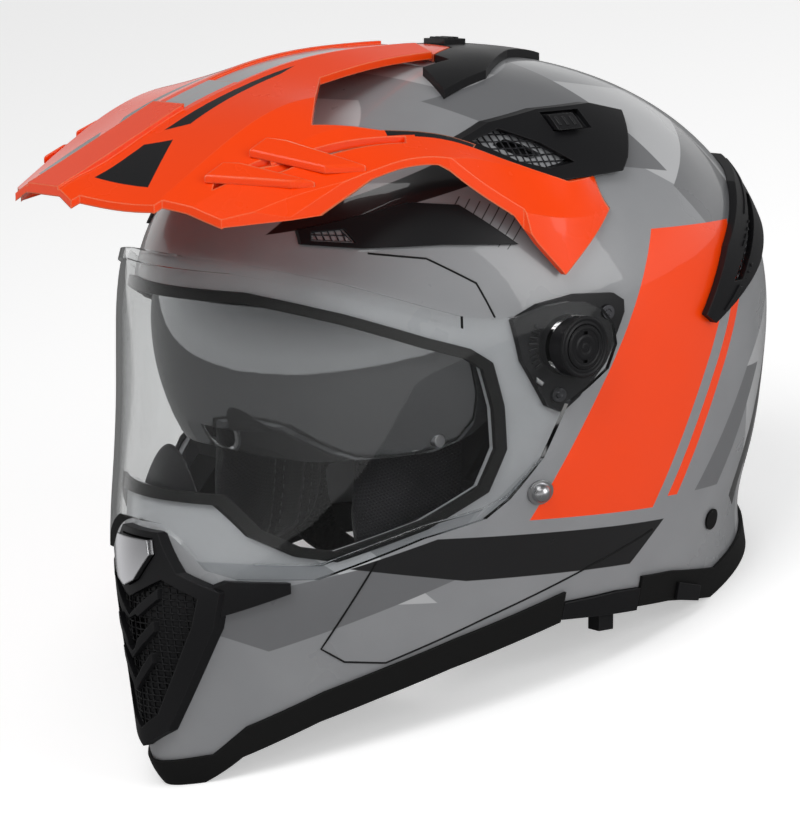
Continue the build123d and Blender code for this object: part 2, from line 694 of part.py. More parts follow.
# Sun visor and its pins
with BuildPart() as visor_ball:
    with BuildSketch(Plane.XY):
        Ellipse(visor_half, visor_round)
        Ellipse(visor_half - visor_wall, visor_round - visor_wall, mode=Mode.SUBTRACT)
        split(bisect_by=Plane.XZ)
    revolve(axis=Axis.X)
boss_rod = rod(0, 0, visor_boss_radius, -overrun, overrun)
with BuildPart() as visor_bosses:
    add(visor_ball.part)
    add(boss_rod, mode=Mode.INTERSECT)
    add(rod(0, 0, visor_pin_radius + swing_gap, -overrun, overrun), mode=Mode.SUBTRACT)
rivet_y, rivet_z = reach_point(*visor_rivet_share)
with BuildPart() as sun_visor:
    add(visor_ball.part)
    add(bar(side_points(visor_shares), both=True), mode=Mode.INTERSECT)
    add(boss_rod, mode=Mode.SUBTRACT)
    add(visor_bosses.part)
    add(rod(rivet_y, rivet_z, rivet_radius, 0, overrun), mode=Mode.SUBTRACT)
    add(rod(rivet_y, rivet_z, rivet_radius, -overrun, 0), mode=Mode.SUBTRACT)
keep("sun_visor", sun_visor)
rivet_out = sqrt(1 - (rivet_y ** 2 + rivet_z ** 2) / visor_round ** 2) * visor_half
with BuildPart() as left_visor_rivet:
    add(rod(rivet_y, rivet_z, rivet_radius, rivet_out - 2 * visor_wall, rivet_out + rivet_head))
keep("visor_rivet_left", left_visor_rivet)
flange_start = visor_half + seat_gap / 2
head_end = visor_half - visor_wall - seat_gap
with BuildPart() as left_pin:
    add(rod(0, 0, visor_pin_radius, head_end - visor_pin_head, overrun))
    add(rod(0, 0, visor_pin_flange, flange_start, overrun))
    add(rod(0, 0, visor_pin_flange, head_end - visor_pin_head, head_end))
    add(skin(-shell_wall), mode=Mode.INTERSECT)
keep("sun_visor_pivot_left", left_pin)

# Lever under the left edge that works the sun visor
plate_low = chin_depth * lever_plate_low_share
lever_y = rear_reach * lever_rest_share
lever_x = half_width(lever_y, plate_low) - lever_inset / 2
room_front, room_back = reach_point(lever_room_shares[0][0], 0)[0], reach_point(lever_room_shares[1][0], 0)[0]
plate_top = [point for point in base_line if room_front < point[0] < room_back]
plate_top = [(y, z - seat_gap) for y, z in
             [(room_front + seat_gap, plate_top[0][1])] + plate_top + [(room_back - seat_gap, plate_top[-1][1])]]
with BuildPart() as lever_plate:
    add(bar([(y, z) for y, z in plate_top] + [(room_back - seat_gap, plate_low),
                                               (room_front + seat_gap, plate_low)]))
    add(skin(skin_gap + trim_wall), mode=Mode.INTERSECT)
    add(skin(-lever_inset), mode=Mode.SUBTRACT)
    add(block((lever_x - lever_stem / 2 - seat_gap, lever_y - lever_travel - lever_length / 2,
               plate_low - lever_drop),
              (lever_x + lever_stem / 2 + seat_gap, lever_y + lever_length / 2, 0)), mode=Mode.SUBTRACT)
keep("lever_plate", lever_plate)
with BuildPart() as sun_visor_lever:
    add(block((lever_x - lever_width / 2, lever_y - lever_length / 2, plate_low - seat_gap - lever_drop),
              (lever_x + lever_width / 2, lever_y + lever_length / 2, plate_low - seat_gap)))
    add(block((lever_x - lever_stem / 2, lever_y - lever_length / 2 + seat_gap,
               plate_low - lever_drop),
              (lever_x + lever_stem / 2, lever_y + lever_length / 2 - seat_gap,
               plate_low + lever_drop / 2)))
keep("sun_visor_lever", sun_visor_lever)
with BuildPart() as left_clip:
    add(wrapped(side_points(clip_shares), skin_gap * 2 + trim_wall, skin_gap * 2 + 2 * trim_wall))
keep("rear_trim_clip_left", left_clip)

# Chin vent: frame, inset with its chevrons, sliding button and the wings beside it
button_bar = grown_bar(front_points(button_shares), button_gap, Plane.XZ)
with BuildPart() as chin_vent_frame:
    add(wrapped(chin_frame_points, skin_gap, frame_proud, Plane.XZ))
    add(bar(chin_inset_points, Plane.XZ), mode=Mode.SUBTRACT)
    add(button_bar, mode=Mode.SUBTRACT)
keep("chin_vent_frame", chin_vent_frame)
with BuildPart() as chin_vent_inset:
    add(wrapped(chin_inset_points, skin_gap, inset_wall, Plane.XZ))
    for height, reach in chevron_shares:
        tip, arm, thick = chin_depth * height, shell_half * reach, chin_depth * chevron_thick
        rise = chin_depth * chevron_rise
        vee = [(0, tip), (arm, tip + rise), (arm, tip + rise - thick), (0, tip - thick),
               (-arm, tip + rise - thick), (-arm, tip + rise)]
        add(wrapped(vee, skin_gap, chevron_proud, Plane.XZ))
    add(bar(shrink(chin_inset_points, inset_hole_share), Plane.XZ), mode=Mode.SUBTRACT)
keep("chin_vent_inset", chin_vent_inset)
with BuildPart() as chin_button:
    add(wrapped(front_points(button_shares), skin_gap + button_travel + seat_gap, button_proud, Plane.XZ))
keep("chin_button", chin_button)
with BuildPart() as left_winglet:
    add(wrapped(side_points(winglet_shares), skin_gap, plate_wall))
    add(bar(chin_frame_points, Plane.XZ), mode=Mode.SUBTRACT)
keep("chin_winglet_left", left_winglet)
with BuildPart() as breath_deflector:
    add(bar(side_points(deflector_shares), both=True))
    add(block((-deflector_half, -overrun, -overrun), (deflector_half, 0, 0)), mode=Mode.INTERSECT)
    add(skin(-deflector_inset), mode=Mode.INTERSECT)
    add(skin(-deflector_inset - deflector_wall), mode=Mode.SUBTRACT)
keep("breath_deflector", breath_deflector)

# Vents on the brow, the crown and the back
with BuildPart() as left_brow:
    add(wrapped(side_points(brow_vent_shares), skin_gap, vent_low))
    add(bar(side_points(brow_slot_shares)), mode=Mode.SUBTRACT)
keep("brow_vent_left", left_brow)
with BuildPart() as top_vent_housing:
    add(wrapped(top_vent_points, skin_gap, vent_proud, Plane.XY))
    add(bar(top_points(top_pocket_shares), Plane.XY), mode=Mode.SUBTRACT)
    add(wrapped(top_points(top_pocket_shares), skin_gap, vent_floor, Plane.XY))
keep("top_vent_housing", top_vent_housing)
with BuildPart() as top_vent_slider:
    add(wrapped(top_points(top_slider_shares), vent_floor + seat_gap, vent_proud + slider_proud, Plane.XY))
keep("top_vent_slider", top_vent_slider)
with BuildPart() as left_crown_vent:
    add(wrapped(crown_vent_points, skin_gap, vent_proud))
    add(bar(crown_mouth_points), mode=Mode.SUBTRACT)
    add(bar(side_points(crown_pocket_shares)), mode=Mode.SUBTRACT)
    add(wrapped(side_points(crown_pocket_shares), skin_gap, vent_floor))
keep("crown_vent_left", left_crown_vent)
with BuildPart() as left_crown_slider:
    add(wrapped(side_points(crown_slider_shares), vent_floor + crown_slider_gap, vent_proud + slider_proud))
keep("crown_slider_left", left_crown_slider)
with BuildPart() as left_exhaust:
    add(wrapped(exhaust_points, skin_gap, vent_proud))
    add(bar(exhaust_slot_points), mode=Mode.SUBTRACT)
    add(block((-tail_half, 0, -overrun), (tail_half, overrun, overrun)), mode=Mode.SUBTRACT)
keep("exhaust_vent_left", left_exhaust)


def peak_section(middle, places, lift):
    """The peak's section from right to left, moved inwards by lift."""
    half = [(strip_half, crown_height * middle)]
    half += [(shell_half * out, crown_height * up) for out, up in places]
    whole = [(-x, z) for x, z in reversed(half)] + half
    moved = []
    for number, (x, z) in enumerate(whole):
        before = whole[max(number - 1, 0)]
        after = whole[min(number + 1, len(whole) - 1)]
        lean = atan2(after[1] - before[1], after[0] - before[0])
        moved.append((x + lift * sin(lean), z - lift * cos(lean)))
    return moved


def middle_strip(first, last, half, low, high):
    """A band along the middle of the peak, between two heights above its upper face."""
    with BuildPart() as strip:
        for along, middle, _ in peak_section_shares[first:last]:
            y, _ = reach_point(along, 0)
            with BuildSketch(Plane.XZ.offset(-y)):
                with BuildLine():
                    Polyline((-half, crown_height * middle + low), (half, crown_height * middle + low),
                             (half, crown_height * middle + high), (-half, crown_height * middle + high),
                             close=True)
                make_face()
        loft()
    return strip.part


# Peak over the brow, one moulding with a bridge to the crown and a wing down each side
with BuildPart() as peak:
    for along, middle, places in peak_section_shares:
        y, _ = reach_point(along, 0)
        with BuildSketch(Plane.XZ.offset(-y)):
            with BuildLine():
                upper = peak_section(middle, places, 0)
                lower = peak_section(middle, places, peak_wall)
                Polyline(*upper, *reversed(lower), close=True)
            make_face()
    loft()
    add(middle_strip(0, strip_end, channel_wide, -peak_wall / 2, strip_raise))
    add(middle_strip(strip_end, channel_end, channel_wide, -channel_sink, shell_half), mode=Mode.SUBTRACT)
    add(bar(top_points(peak_front_shares), Plane.XY), mode=Mode.INTERSECT)
    add(bar(side_points(peak_low_shares), both=True), mode=Mode.INTERSECT)
    gap_bar = bar(left_points(peak_gap_shares), Plane.XY)
    add([gap_bar, other_side(gap_bar)], mode=Mode.SUBTRACT)
    add(bar(top_points(bridge_end_shares), Plane.XY), mode=Mode.SUBTRACT)
    for shares in louvre_shares:
        louvre_bar = bar(left_points(shares), Plane.XY)
        add([louvre_bar, other_side(louvre_bar)], mode=Mode.SUBTRACT)
    add(grown_bar(crown_vent_points, seat_gap, both=True), mode=Mode.SUBTRACT)
    add(skin(vent_low + skin_gap), mode=Mode.SUBTRACT)
keep("peak", peak)
with BuildPart() as peak_rear_piece:
    add(wrapped(top_points(rear_piece_shares), skin_gap, vent_proud, Plane.XY))
keep("peak_rear_piece", peak_rear_piece)

# Right-hand pieces
for name in ("pivot_plate", "pivot_screws", "pivot_knob", "side_stud", "rear_plug", "sun_visor_pivot",
             "visor_rivet", "chin_winglet", "brow_vent", "crown_vent", "crown_slider", "exhaust_vent"):
    with BuildPart() as right_piece:
        add(other_side(kept[f"{name}_left"]))
    keep(f"{name}_right", right_piece)

# Tip everything back onto the table, centre it and write the files
tipped = {name: piece.rotate(Axis.X, -stand_tilt) for name, piece in kept.items()}
marks = [mark for piece in tipped.values() for mark in piece.tessellate(measure_step)[0]]
front_end, back_end = min(mark.Y for mark in marks), max(mark.Y for mark in marks)
table = min(mark.Z for mark in marks)
seat = Location((0, -(front_end + back_end) / 2, -table))
print("pivot axis at", -(front_end + back_end) / 2, -table)
print("size", max(mark.X for mark in marks) * 2, back_end - front_end,
      max(mark.Z for mark in marks) - table)
os.makedirs("parts", exist_ok=True)
for name, piece in tipped.items():
    seated = piece.moved(seat)
    seated.label = name
    export_step(seated, f"parts/{name}.step")
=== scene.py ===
# %% [markdown]
# A dual sport helmet in Blender
#
# The helmet's moulded parts arrive as an exact model, measured and already jointed. This
# lesson dresses them: it gives every part a finish, sews the soft parts and adds the small
# fittings. The model stays where it is, so each new piece is placed from its sizes.

import json
from math import atan2, cos, pi, radians, sin

import bmesh
import bpy
from mathutils import Matrix, Vector
from mathutils.bvhtree import BVHTree


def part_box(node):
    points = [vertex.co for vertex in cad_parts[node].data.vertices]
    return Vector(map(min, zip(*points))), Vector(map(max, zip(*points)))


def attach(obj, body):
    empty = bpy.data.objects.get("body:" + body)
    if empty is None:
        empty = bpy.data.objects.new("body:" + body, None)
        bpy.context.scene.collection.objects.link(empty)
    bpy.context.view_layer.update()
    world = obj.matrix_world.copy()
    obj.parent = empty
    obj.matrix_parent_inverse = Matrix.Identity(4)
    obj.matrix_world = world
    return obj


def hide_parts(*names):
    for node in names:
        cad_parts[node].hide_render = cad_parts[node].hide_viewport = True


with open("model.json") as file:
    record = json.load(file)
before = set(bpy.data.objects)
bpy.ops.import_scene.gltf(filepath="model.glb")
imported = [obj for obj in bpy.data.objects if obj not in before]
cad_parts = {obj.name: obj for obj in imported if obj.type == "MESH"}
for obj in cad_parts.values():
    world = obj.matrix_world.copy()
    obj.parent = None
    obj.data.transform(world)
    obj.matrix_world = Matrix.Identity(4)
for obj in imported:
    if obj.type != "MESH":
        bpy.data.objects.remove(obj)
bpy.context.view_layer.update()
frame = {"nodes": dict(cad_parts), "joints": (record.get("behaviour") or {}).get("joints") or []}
nodes = frame["nodes"]

# %% [markdown]
# Two ways of standing
#
# A helmet is easiest to think about as it is worn: the shield's pivot axis runs through the
# origin, the face looks along -Y and up is +Z, all in millimetres. On the table it is tipped
# back onto its chin and its rear edge, by the angle at which the sun visor's lever slides.
# The two functions below turn a worn place or direction into a place on the table, so that
# every size in this lesson can be read as on a worn helmet.

# %% Worn places on the table
pivot = next(Vector(j["pos_m"]) for j in frame["joints"] if j["name"] == "shield_hinge")
forwards = next(j["axis"] for j in frame["joints"] if j["name"] == "visor_lever_slide")
stand_tilt = atan2(forwards[2], -forwards[1])
tip_back = Matrix.Rotation(-stand_tilt, 3, "X")
mm = 0.001
sides = (("left", 1), ("right", -1))


def at(x, y, z):
    """A worn place in millimetres, as a place on the table in metres."""
    return pivot + tip_back @ (Vector((x, y, z)) * mm)


def along(x, y, z):
    """A worn direction, as a direction on the table."""
    return (tip_back @ Vector((x, y, z))).normalized()


print("pivot", [round(v, 4) for v in pivot], "crown", [round(v, 4) for v in at(0, 0, 113)])

# %% [markdown]
# The camera
#
# A product photograph of a helmet is taken from about a metre and a half with a long lens,
# so that the near cheek doesn't bulge. The camera stands 51.5 degrees to the wearer's left of
# straight ahead and 9 degrees above the pivot, and it is rolled with the helmet.

# %% Camera
azimuth, elevation, distance = radians(51.5), radians(9.0), 1500
aim = Vector((4.51, 5.67, -45.8))
backward = Vector((sin(azimuth) * cos(elevation), -cos(azimuth) * cos(elevation), sin(elevation)))
rightward = Vector((cos(azimuth), sin(azimuth), 0))
upward = backward.cross(rightward)
camera = bpy.data.objects.new("camera", bpy.data.cameras.new("camera"))
camera.data.lens, camera.data.sensor_width = 147.57, 36
camera.data.clip_start, camera.data.clip_end = 0.05, 20
turned = Matrix((along(*rightward), along(*upward), along(*backward))).transposed()
camera.matrix_world = Matrix.Translation(at(*(aim + backward * distance))) @ turned.to_4x4()
bpy.context.scene.collection.objects.link(camera)
bpy.context.scene.camera = camera
bpy.context.scene.view_settings.view_transform = "Standard"
print("camera at", [round(v, 3) for v in camera.location])

# %% [markdown]
# Wiring a finish
#
# A finish is a small graph of nodes. Writing one by hand takes many lines, so one helper adds
# a node, sets its options and joins its inputs, either to a number or to another node's
# socket. Effects that several finishes share are node groups with named sockets.

# %% Helpers for nodes
def wire(tree, made, inputs):
    """Set each input of a node to a value, or join it to another node's socket."""
    for socket, value in inputs.items():
        if isinstance(value, bpy.types.NodeSocket):
            tree.links.new(value, made.inputs[socket])
        else:
            made.inputs[socket].default_value = value


def node(tree, kind, inputs=None, **options):
    """Add a shader node, set its options, and set or join its inputs."""
    made = tree.nodes.new("ShaderNode" + kind)
    for option, value in options.items():
        setattr(made, option, value)
    wire(tree, made, inputs or {})
    return made


def group(name, takes, gives):
    """An empty node group with named inputs and outputs, and its two end nodes."""
    tree = bpy.data.node_groups.new(name, "ShaderNodeTree")
    for socket, kind, value in takes:
        made = tree.interface.new_socket(socket, in_out="INPUT", socket_type="NodeSocket" + kind)
        if value is not None:
            made.default_value = value
    for socket, kind in gives:
        tree.interface.new_socket(socket, in_out="OUTPUT", socket_type="NodeSocket" + kind)
    return tree, tree.nodes.new("NodeGroupInput"), tree.nodes.new("NodeGroupOutput")


def use(tree, effect, **values):
    """Place a shared effect in a finish, with its own values; spaces in names are underscores."""
    placed = tree.nodes.new("ShaderNodeGroup")
    placed.node_tree = effect
    wire(tree, placed, {socket.replace("_", " "): value for socket, value in values.items()})
    return placed


def new_look(name):
    """A new material, its node tree and its shader."""
    look = bpy.data.materials.new(name)
    look.use_nodes = True
    return look, look.node_tree, look.node_tree.nodes["Principled BSDF"]


print("helpers: wire, node, group, use, new_look")

# %% [markdown]
# Floor and light
#
# The helmet stands on a pale floor in soft light. The world is plain white where the camera
# looks at it, straight or through the clear shield, and weaker where it lights things, so
# that the background stays white and the greys keep their depth. A ray that has met a mirror
# sees a sky that is pale at the horizon, darker overhead, and a dark floor, as in a studio
# with black cloth round the product. One wide lamp in front and above, and one at the side,
# give the long soft highlights that show a shell's curve.

# %% Floor
floor_radius, floor_sides = 2.5, 96
paper_white, paper_in_mirrors = (0.93, 0.93, 0.93, 1), (0.1, 0.1, 0.1, 1)
hidden_glow, seen_glow = 0.1, 0.44
floor_mesh = bpy.data.meshes.new("floor")
bm = bmesh.new()
bmesh.ops.create_circle(bm, cap_ends=True, radius=floor_radius, segments=floor_sides)
bm.to_mesh(floor_mesh)
bm.free()
floor = bpy.data.objects.new("floor", floor_mesh)
bpy.context.scene.collection.objects.link(floor)
floor_look, tree, paper = new_look("floor_paper")
path = node(tree, "LightPath")
in_mirrors = node(tree, "Mix", {"Factor": path.outputs["Glossy Depth"], 6: paper_white, 7: paper_in_mirrors},
                  data_type="RGBA", clamp_factor=True)
wire(tree, paper, {"Roughness": 0.9, "Base Color": in_mirrors.outputs[2]})
glow_level = node(tree, "MapRange", {"Value": path.outputs["Is Camera Ray"], "To Min": hidden_glow,
                                     "To Max": seen_glow})
glow = node(tree, "Emission", {"Strength": glow_level.outputs[0]})
both = node(tree, "AddShader", {0: paper.outputs[0], 1: glow.outputs[0]})
wire(tree, tree.nodes["Material Output"], {"Surface": both.outputs[0]})
floor_mesh.materials.append(floor_look)
print("floor", len(floor_mesh.polygons), "face")

# %% World
lighting_level, background_level = 0.34, 1.0
horizon_level, overhead_level = 0.8, 0.2
world = bpy.data.worlds.new("studio")
bpy.context.scene.world = world
world.use_nodes = True
tree = world.node_tree
path = node(tree, "LightPath")
direction = node(tree, "TexCoord")
height = node(tree, "SeparateXYZ", {0: direction.outputs["Generated"]})
ceiling = node(tree, "MapRange", {"Value": height.outputs["Z"], "From Min": 0.05, "From Max": 0.45,
                                  "To Min": horizon_level, "To Max": overhead_level})
straight = node(tree, "Math", {0: path.outputs["Is Camera Ray"], 1: path.outputs["Is Transmission Ray"]},
                operation="MAXIMUM")
unmirrored = node(tree, "MapRange", {"Value": straight.outputs[0], "To Min": lighting_level,
                                     "To Max": background_level})
mirror_met = node(tree, "Math", {0: path.outputs["Glossy Depth"], 1: 1.0}, operation="MINIMUM")
level = node(tree, "Mix", {0: mirror_met.outputs[0], 2: unmirrored.outputs[0], 3: ceiling.outputs[0]})
wire(tree, tree.nodes["Background"], {"Color": (1, 1, 1, 1), "Strength": level.outputs[0]})
print(world.name, len(tree.nodes), "nodes")


# %% Lamps
def lamp(name, place, size, power):
    """A square soft lamp at a worn place, turned to the shield's pivot axis."""
    light = bpy.data.lights.new(name, "AREA")
    light.shape, light.size, light.energy = "SQUARE", size, power
    stand = bpy.data.objects.new(name, light)
    stand.location = at(*place)
    stand.rotation_euler = (pivot - at(*place)).to_track_quat("-Z", "Y").to_euler()
    bpy.context.scene.collection.objects.link(stand)


lamp("key_lamp", place=(300, -900, 1100), size=0.9, power=9)
lamp("side_lamp", place=(1300, 200, 500), size=0.8, power=6)

# %% [markdown]
# Where a pattern lies
#
# Painted panels on a helmet are masked by hand from templates, so their edges are crisp and
# they wrap the shell. A mask that reads the worn place does the same: it is drawn once in the
# side view or the top view, and it lands alike on both sides. A painted shape is the overlap
# of up to five half planes, each given by one straight edge.

# %% Worn place
worn_place, _, gives = group("worn_place", [], [("Side", "Vector"), ("Top", "Vector"), ("Worn", "Vector")])
spot = node(worn_place, "TexCoord")
worn = node(worn_place, "Mapping", {"Vector": spot.outputs["Object"], "Location": pivot,
                                    "Rotation": (-stand_tilt, 0, 0), "Scale": (mm, mm, mm)},
            vector_type="TEXTURE")
parts = node(worn_place, "SeparateXYZ", {"Vector": worn.outputs[0]})
across = node(worn_place, "Math", {0: parts.outputs["X"]}, operation="ABSOLUTE")
side = node(worn_place, "CombineXYZ", {"X": parts.outputs["Y"], "Y": parts.outputs["Z"], "Z": 1.0})
top = node(worn_place, "CombineXYZ", {"X": across.outputs[0], "Y": parts.outputs["Y"], "Z": 1.0})
worn_place.links.new(side.outputs[0], gives.inputs["Side"])
worn_place.links.new(top.outputs[0], gives.inputs["Top"])
worn_place.links.new(worn.outputs[0], gives.inputs["Worn"])
print(worn_place.name, len(worn_place.nodes), "nodes")

# %% Painted shape
edge_names = ["Edge 1", "Edge 2", "Edge 3", "Edge 4", "Edge 5"]
far_inside = (0.0, 0.0, 500.0)
painted_shape, takes, gives = group(
    "painted_shape", [("Place", "Vector", None)] + [(name, "Vector", far_inside) for name in edge_names],
    [("Mask", "Float")])
inside = None
for name in edge_names:
    depth = node(painted_shape, "VectorMath", {0: takes.outputs["Place"], 1: takes.outputs[name]},
                 operation="DOT_PRODUCT").outputs["Value"]
    if inside is None:
        inside = depth
    else:
        inside = node(painted_shape, "Math", {0: inside, 1: depth}, operation="MINIMUM").outputs[0]
crisp = node(painted_shape, "MapRange", {"Value": inside, "From Min": -0.12, "From Max": 0.12})
painted_shape.links.new(crisp.outputs[0], gives.inputs["Mask"])


def turns_left(corners):
    """Whether an outline's corners run anticlockwise."""
    return sum(a[0] * b[1] - b[0] * a[1] for a, b in zip(corners, corners[1:] + corners[:1])) > 0


def shape(tree, place, corners):
    """The mask of a painted shape with these corners, in millimetres, in order around it."""
    inner_side = 1 if turns_left(corners) else -1
    values = {"Place": place}
    for name, (ax, ay), (bx, by) in zip(edge_names, corners, corners[1:] + corners[:1]):
        run = Vector((bx - ax, by - ay))
        inward = Vector((-run.y, run.x)).normalized() * inner_side
        values[name] = (inward.x, inward.y, -inward.dot(Vector((ax, ay))))
    return use(tree, painted_shape, **values).outputs["Mask"]


def shapes(tree, place, outlines):
    """One mask for several painted shapes."""
    joined = shape(tree, place, outlines[0])
    for corners in outlines[1:]:
        both = node(tree, "Math", {0: joined, 1: shape(tree, place, corners)}, operation="MAXIMUM")
        joined = both.outputs[0]
    return joined


print(painted_shape.name, len(painted_shape.nodes), "nodes")

# %% [markdown]
# Edges and grain
#
# A moulding's corner is never razor sharp: it is rounded by a few tenths of a millimetre, it
# catches a thin highlight and it is the first place to polish or to scuff. The Bevel node
# rounds the light on a corner without new faces, and the angle between its normal and the
# face's own one says how near the corner is. The paler colour painted on corners stands for
# scuffing and also for a painted highlight. Moulded plastic has a fine grain, and clear coat
# over it has a little orange peel.

# %% Rounded corners
soft_corner, takes, gives = group("soft_corner", [("Radius", "Float", 0.0006)],
                                  [("Normal", "Vector"), ("Corner", "Float")])
rounded = node(soft_corner, "Bevel", {"Radius": takes.outputs["Radius"]}, samples=4)
flat = node(soft_corner, "NewGeometry")
agree = node(soft_corner, "VectorMath", {0: rounded.outputs[0], 1: flat.outputs["Normal"]},
             operation="DOT_PRODUCT")
corner = node(soft_corner, "MapRange", {"Value": agree.outputs["Value"], "From Min": 0.995, "From Max": 0.86})
soft_corner.links.new(rounded.outputs[0], gives.inputs["Normal"])
soft_corner.links.new(corner.outputs[0], gives.inputs["Corner"])
print(soft_corner.name, len(soft_corner.nodes), "nodes")

# %% Moulded grain
moulded_grain, takes, gives = group("moulded_grain", [("Scale", "Float", 900.0), ("Mottle", "Float", 0.1)],
                                    [("Height", "Float"), ("Tone", "Float")])
spot = node(moulded_grain, "TexCoord")
fine = node(moulded_grain, "TexNoise", {"Vector": spot.outputs["Object"], "Scale": takes.outputs["Scale"],
                                        "Detail": 2.0, "Roughness": 0.6})
broad = node(moulded_grain, "TexNoise", {"Vector": spot.outputs["Object"], "Scale": 28.0, "Detail": 4.0})
swing = node(moulded_grain, "MapRange", {"Value": broad.outputs["Fac"], "From Min": 0.3, "From Max": 0.7,
                                         "To Min": -1.0, "To Max": 1.0})
tone = node(moulded_grain, "Math", {0: swing.outputs[0], 1: takes.outputs["Mottle"]}, operation="MULTIPLY")
moulded_grain.links.new(fine.outputs["Fac"], gives.inputs["Height"])
moulded_grain.links.new(tone.outputs[0], gives.inputs["Tone"])
print(moulded_grain.name, len(moulded_grain.nodes), "nodes")

# %% [markdown]
# A plastic or metal finish
#
# Every hard part shares one recipe: a colour, painted paler on corners for scuffing and as a
# painted highlight, a roughness that the broad mottle moves a little, the fine grain as a bump,
# and a clear coat where the real part is painted or polished. The numbers that don't change
# over the surface are set on the shader itself.

# %% Recipe for hard finishes
def hard_finish(name, colour, roughness, grain=900.0, bump=0.04, coat=0.0, metallic=0.0, edge_wear_and_highlight=0.25,
                radius=0.0006, specular=0.5, edge=None):
    """A finish for a hard part, its corners painted paler as scuffing and as a painted highlight; paint_over
    replaces the colour under them.
    """
    look, tree, shader = new_look(name)
    wire(tree, shader, {"Metallic": metallic, "Specular IOR Level": specular, "Coat Weight": coat,
                        "Coat Roughness": 0.03})
    corner = use(tree, soft_corner, Radius=radius)
    surface = use(tree, moulded_grain, Scale=grain, Mottle=0.12 * roughness)
    rough = node(tree, "Math", {0: roughness, 1: surface.outputs["Tone"]}, operation="ADD")
    tree.links.new(rough.outputs[0], shader.inputs["Roughness"])
    relief = node(tree, "Bump", {"Strength": bump, "Distance": 0.00006, "Height": surface.outputs["Height"],
                                 "Normal": corner.outputs["Normal"]})
    tree.links.new(relief.outputs[0], shader.inputs["Normal"])
    # Corners are painted paler: partly scuffing, partly a painted highlight, strongest on the peak's creases.
    paler = edge or [min(1.0, 0.05 + 1.5 * value) for value in colour]
    edge_wear_and_highlight_share = node(tree, "Math", {0: corner.outputs["Corner"], 1: edge_wear_and_highlight}, operation="MULTIPLY")
    polished = node(tree, "Mix", {"Factor": edge_wear_and_highlight_share.outputs[0], 6: (*colour, 1), 7: (*paler, 1)},
                    data_type="RGBA", name="polished")
    tree.links.new(polished.outputs[2], shader.inputs["Base Color"])
    return look


def paint_over(look, under, coats):
    """Lay masked colours over a base one, in order, under the corners' wear and painted highlight."""
    tree = look.node_tree
    colour = under
    for mask, paint in coats:
        layer = node(tree, "Mix", {"Factor": mask, 6: colour, 7: (*paint, 1)}, data_type="RGBA")
        colour = layer.outputs[2]
    wire(tree, tree.nodes["polished"], {6: colour})


print("recipes: hard_finish, paint_over")

# %% [markdown]
# Hard finishes of this helmet
#
# The shell is grey under clear coat, the peak is a glossy orange moulding, and the vents,
# pivots and rubber are black with little shine. Steel shows on the studs, rivets and rings.

# %% Plain hard finishes
satin_black = hard_finish("satin_black", (0.009, 0.009, 0.01), 0.38, grain=3200.0, bump=0.03, specular=0.22)
rubber_black = hard_finish("rubber_black", (0.008, 0.008, 0.008), 0.6, grain=4200.0, bump=0.02, edge_wear_and_highlight=0.1,
                           specular=0.18)
gloss_black = hard_finish("gloss_black", (0.007, 0.007, 0.008), 0.25, bump=0.01, coat=0.3, specular=0.3)
steel = hard_finish("steel", (0.56, 0.56, 0.57), 0.3, bump=0.02, metallic=1.0, edge_wear_and_highlight=0.1, radius=0.0004)
dark_steel = hard_finish("dark_steel", (0.06, 0.06, 0.065), 0.36, bump=0.03, metallic=0.9, radius=0.0003)
bright_trim = hard_finish("bright_trim", (0.6, 0.6, 0.62), 0.16, bump=0.005, metallic=1.0, radius=0.0008)
crush_foam = hard_finish("crush_foam", (0.012, 0.012, 0.013), 0.75, grain=320.0, bump=0.25, edge_wear_and_highlight=0.1,
                         specular=0.15)
print([m.name for m in bpy.data.materials])

# %% [markdown]
# Painted graphics
#
# Sporty shells carry big angular panels: here a slanted orange band behind the pivot with a
# thin echo of it, black wedges low on the cheek and high on the brow, and shards of two other
# greys under the clear coat. All of it is drawn from straight edges in the side view.

# %% Shell paint
graphic_orange, graphic_black = (1.0, 0.06, 0.0), (0.01, 0.01, 0.011)
shell_paint = hard_finish("shell_paint", (0.27, 0.275, 0.285), 0.3, grain=1800.0, bump=0.01, coat=0.6,
                          edge_wear_and_highlight=0.0, radius=0.0008, specular=0.35)
tree = shell_paint.node_tree
place = use(tree, worn_place)
side_view = place.outputs["Side"]
pale_shards = shapes(tree, side_view, [
    [(-120, -60), (-60, -108), (-40, -108), (-96, -60)],
    [(-30, 112), (96, 96), (150, 20), (60, 66)],
    [(112, -20), (150, 20), (190, -60), (130, -100)],
    [(-110, 60), (-60, 96), (-36, 96), (-84, 52)]])
dark_shards = shapes(tree, side_view, [
    [(-134, -112), (-96, -128), (-30, -96), (-70, -92)],
    [(70, 60), (104, 84), (130, 40), (96, 30)],
    [(-20, 96), (40, 110), (70, 66), (20, 72)],
    [(96, -70), (126, -20), (112, -20), (78, -70)]])
orange_band = shapes(tree, side_view, [
    [(-8, -74), (52, -74), (102, 44), (48, 44)],
    [(60, -70), (66, -70), (116, 44), (110, 44)]])
black_wedges = shapes(tree, side_view, [
    [(-74, -92), (-44, -80), (60, -80), (44, -98), (-30, -99)],
    [(-92, 44), (-20, 66), (-26, 76), (-84, 52)],
    [(120, -84), (146, -20), (140, -16), (112, -78)],
    [(134, -70), (152, -26), (148, -24), (128, -66)]])
fine_lines = shapes(tree, side_view, [
    [(-44 + 3.4 * step, 46 - step), (-43.5 + 3.4 * step, 46 - step), (-31.5 + 3.4 * step, 60 - step),
     (-32 + 3.4 * step, 60 - step)] for step in range(8)])
flake = node(tree, "TexNoise", {"Vector": place.outputs["Worn"], "Scale": 0.02, "Detail": 3.0})
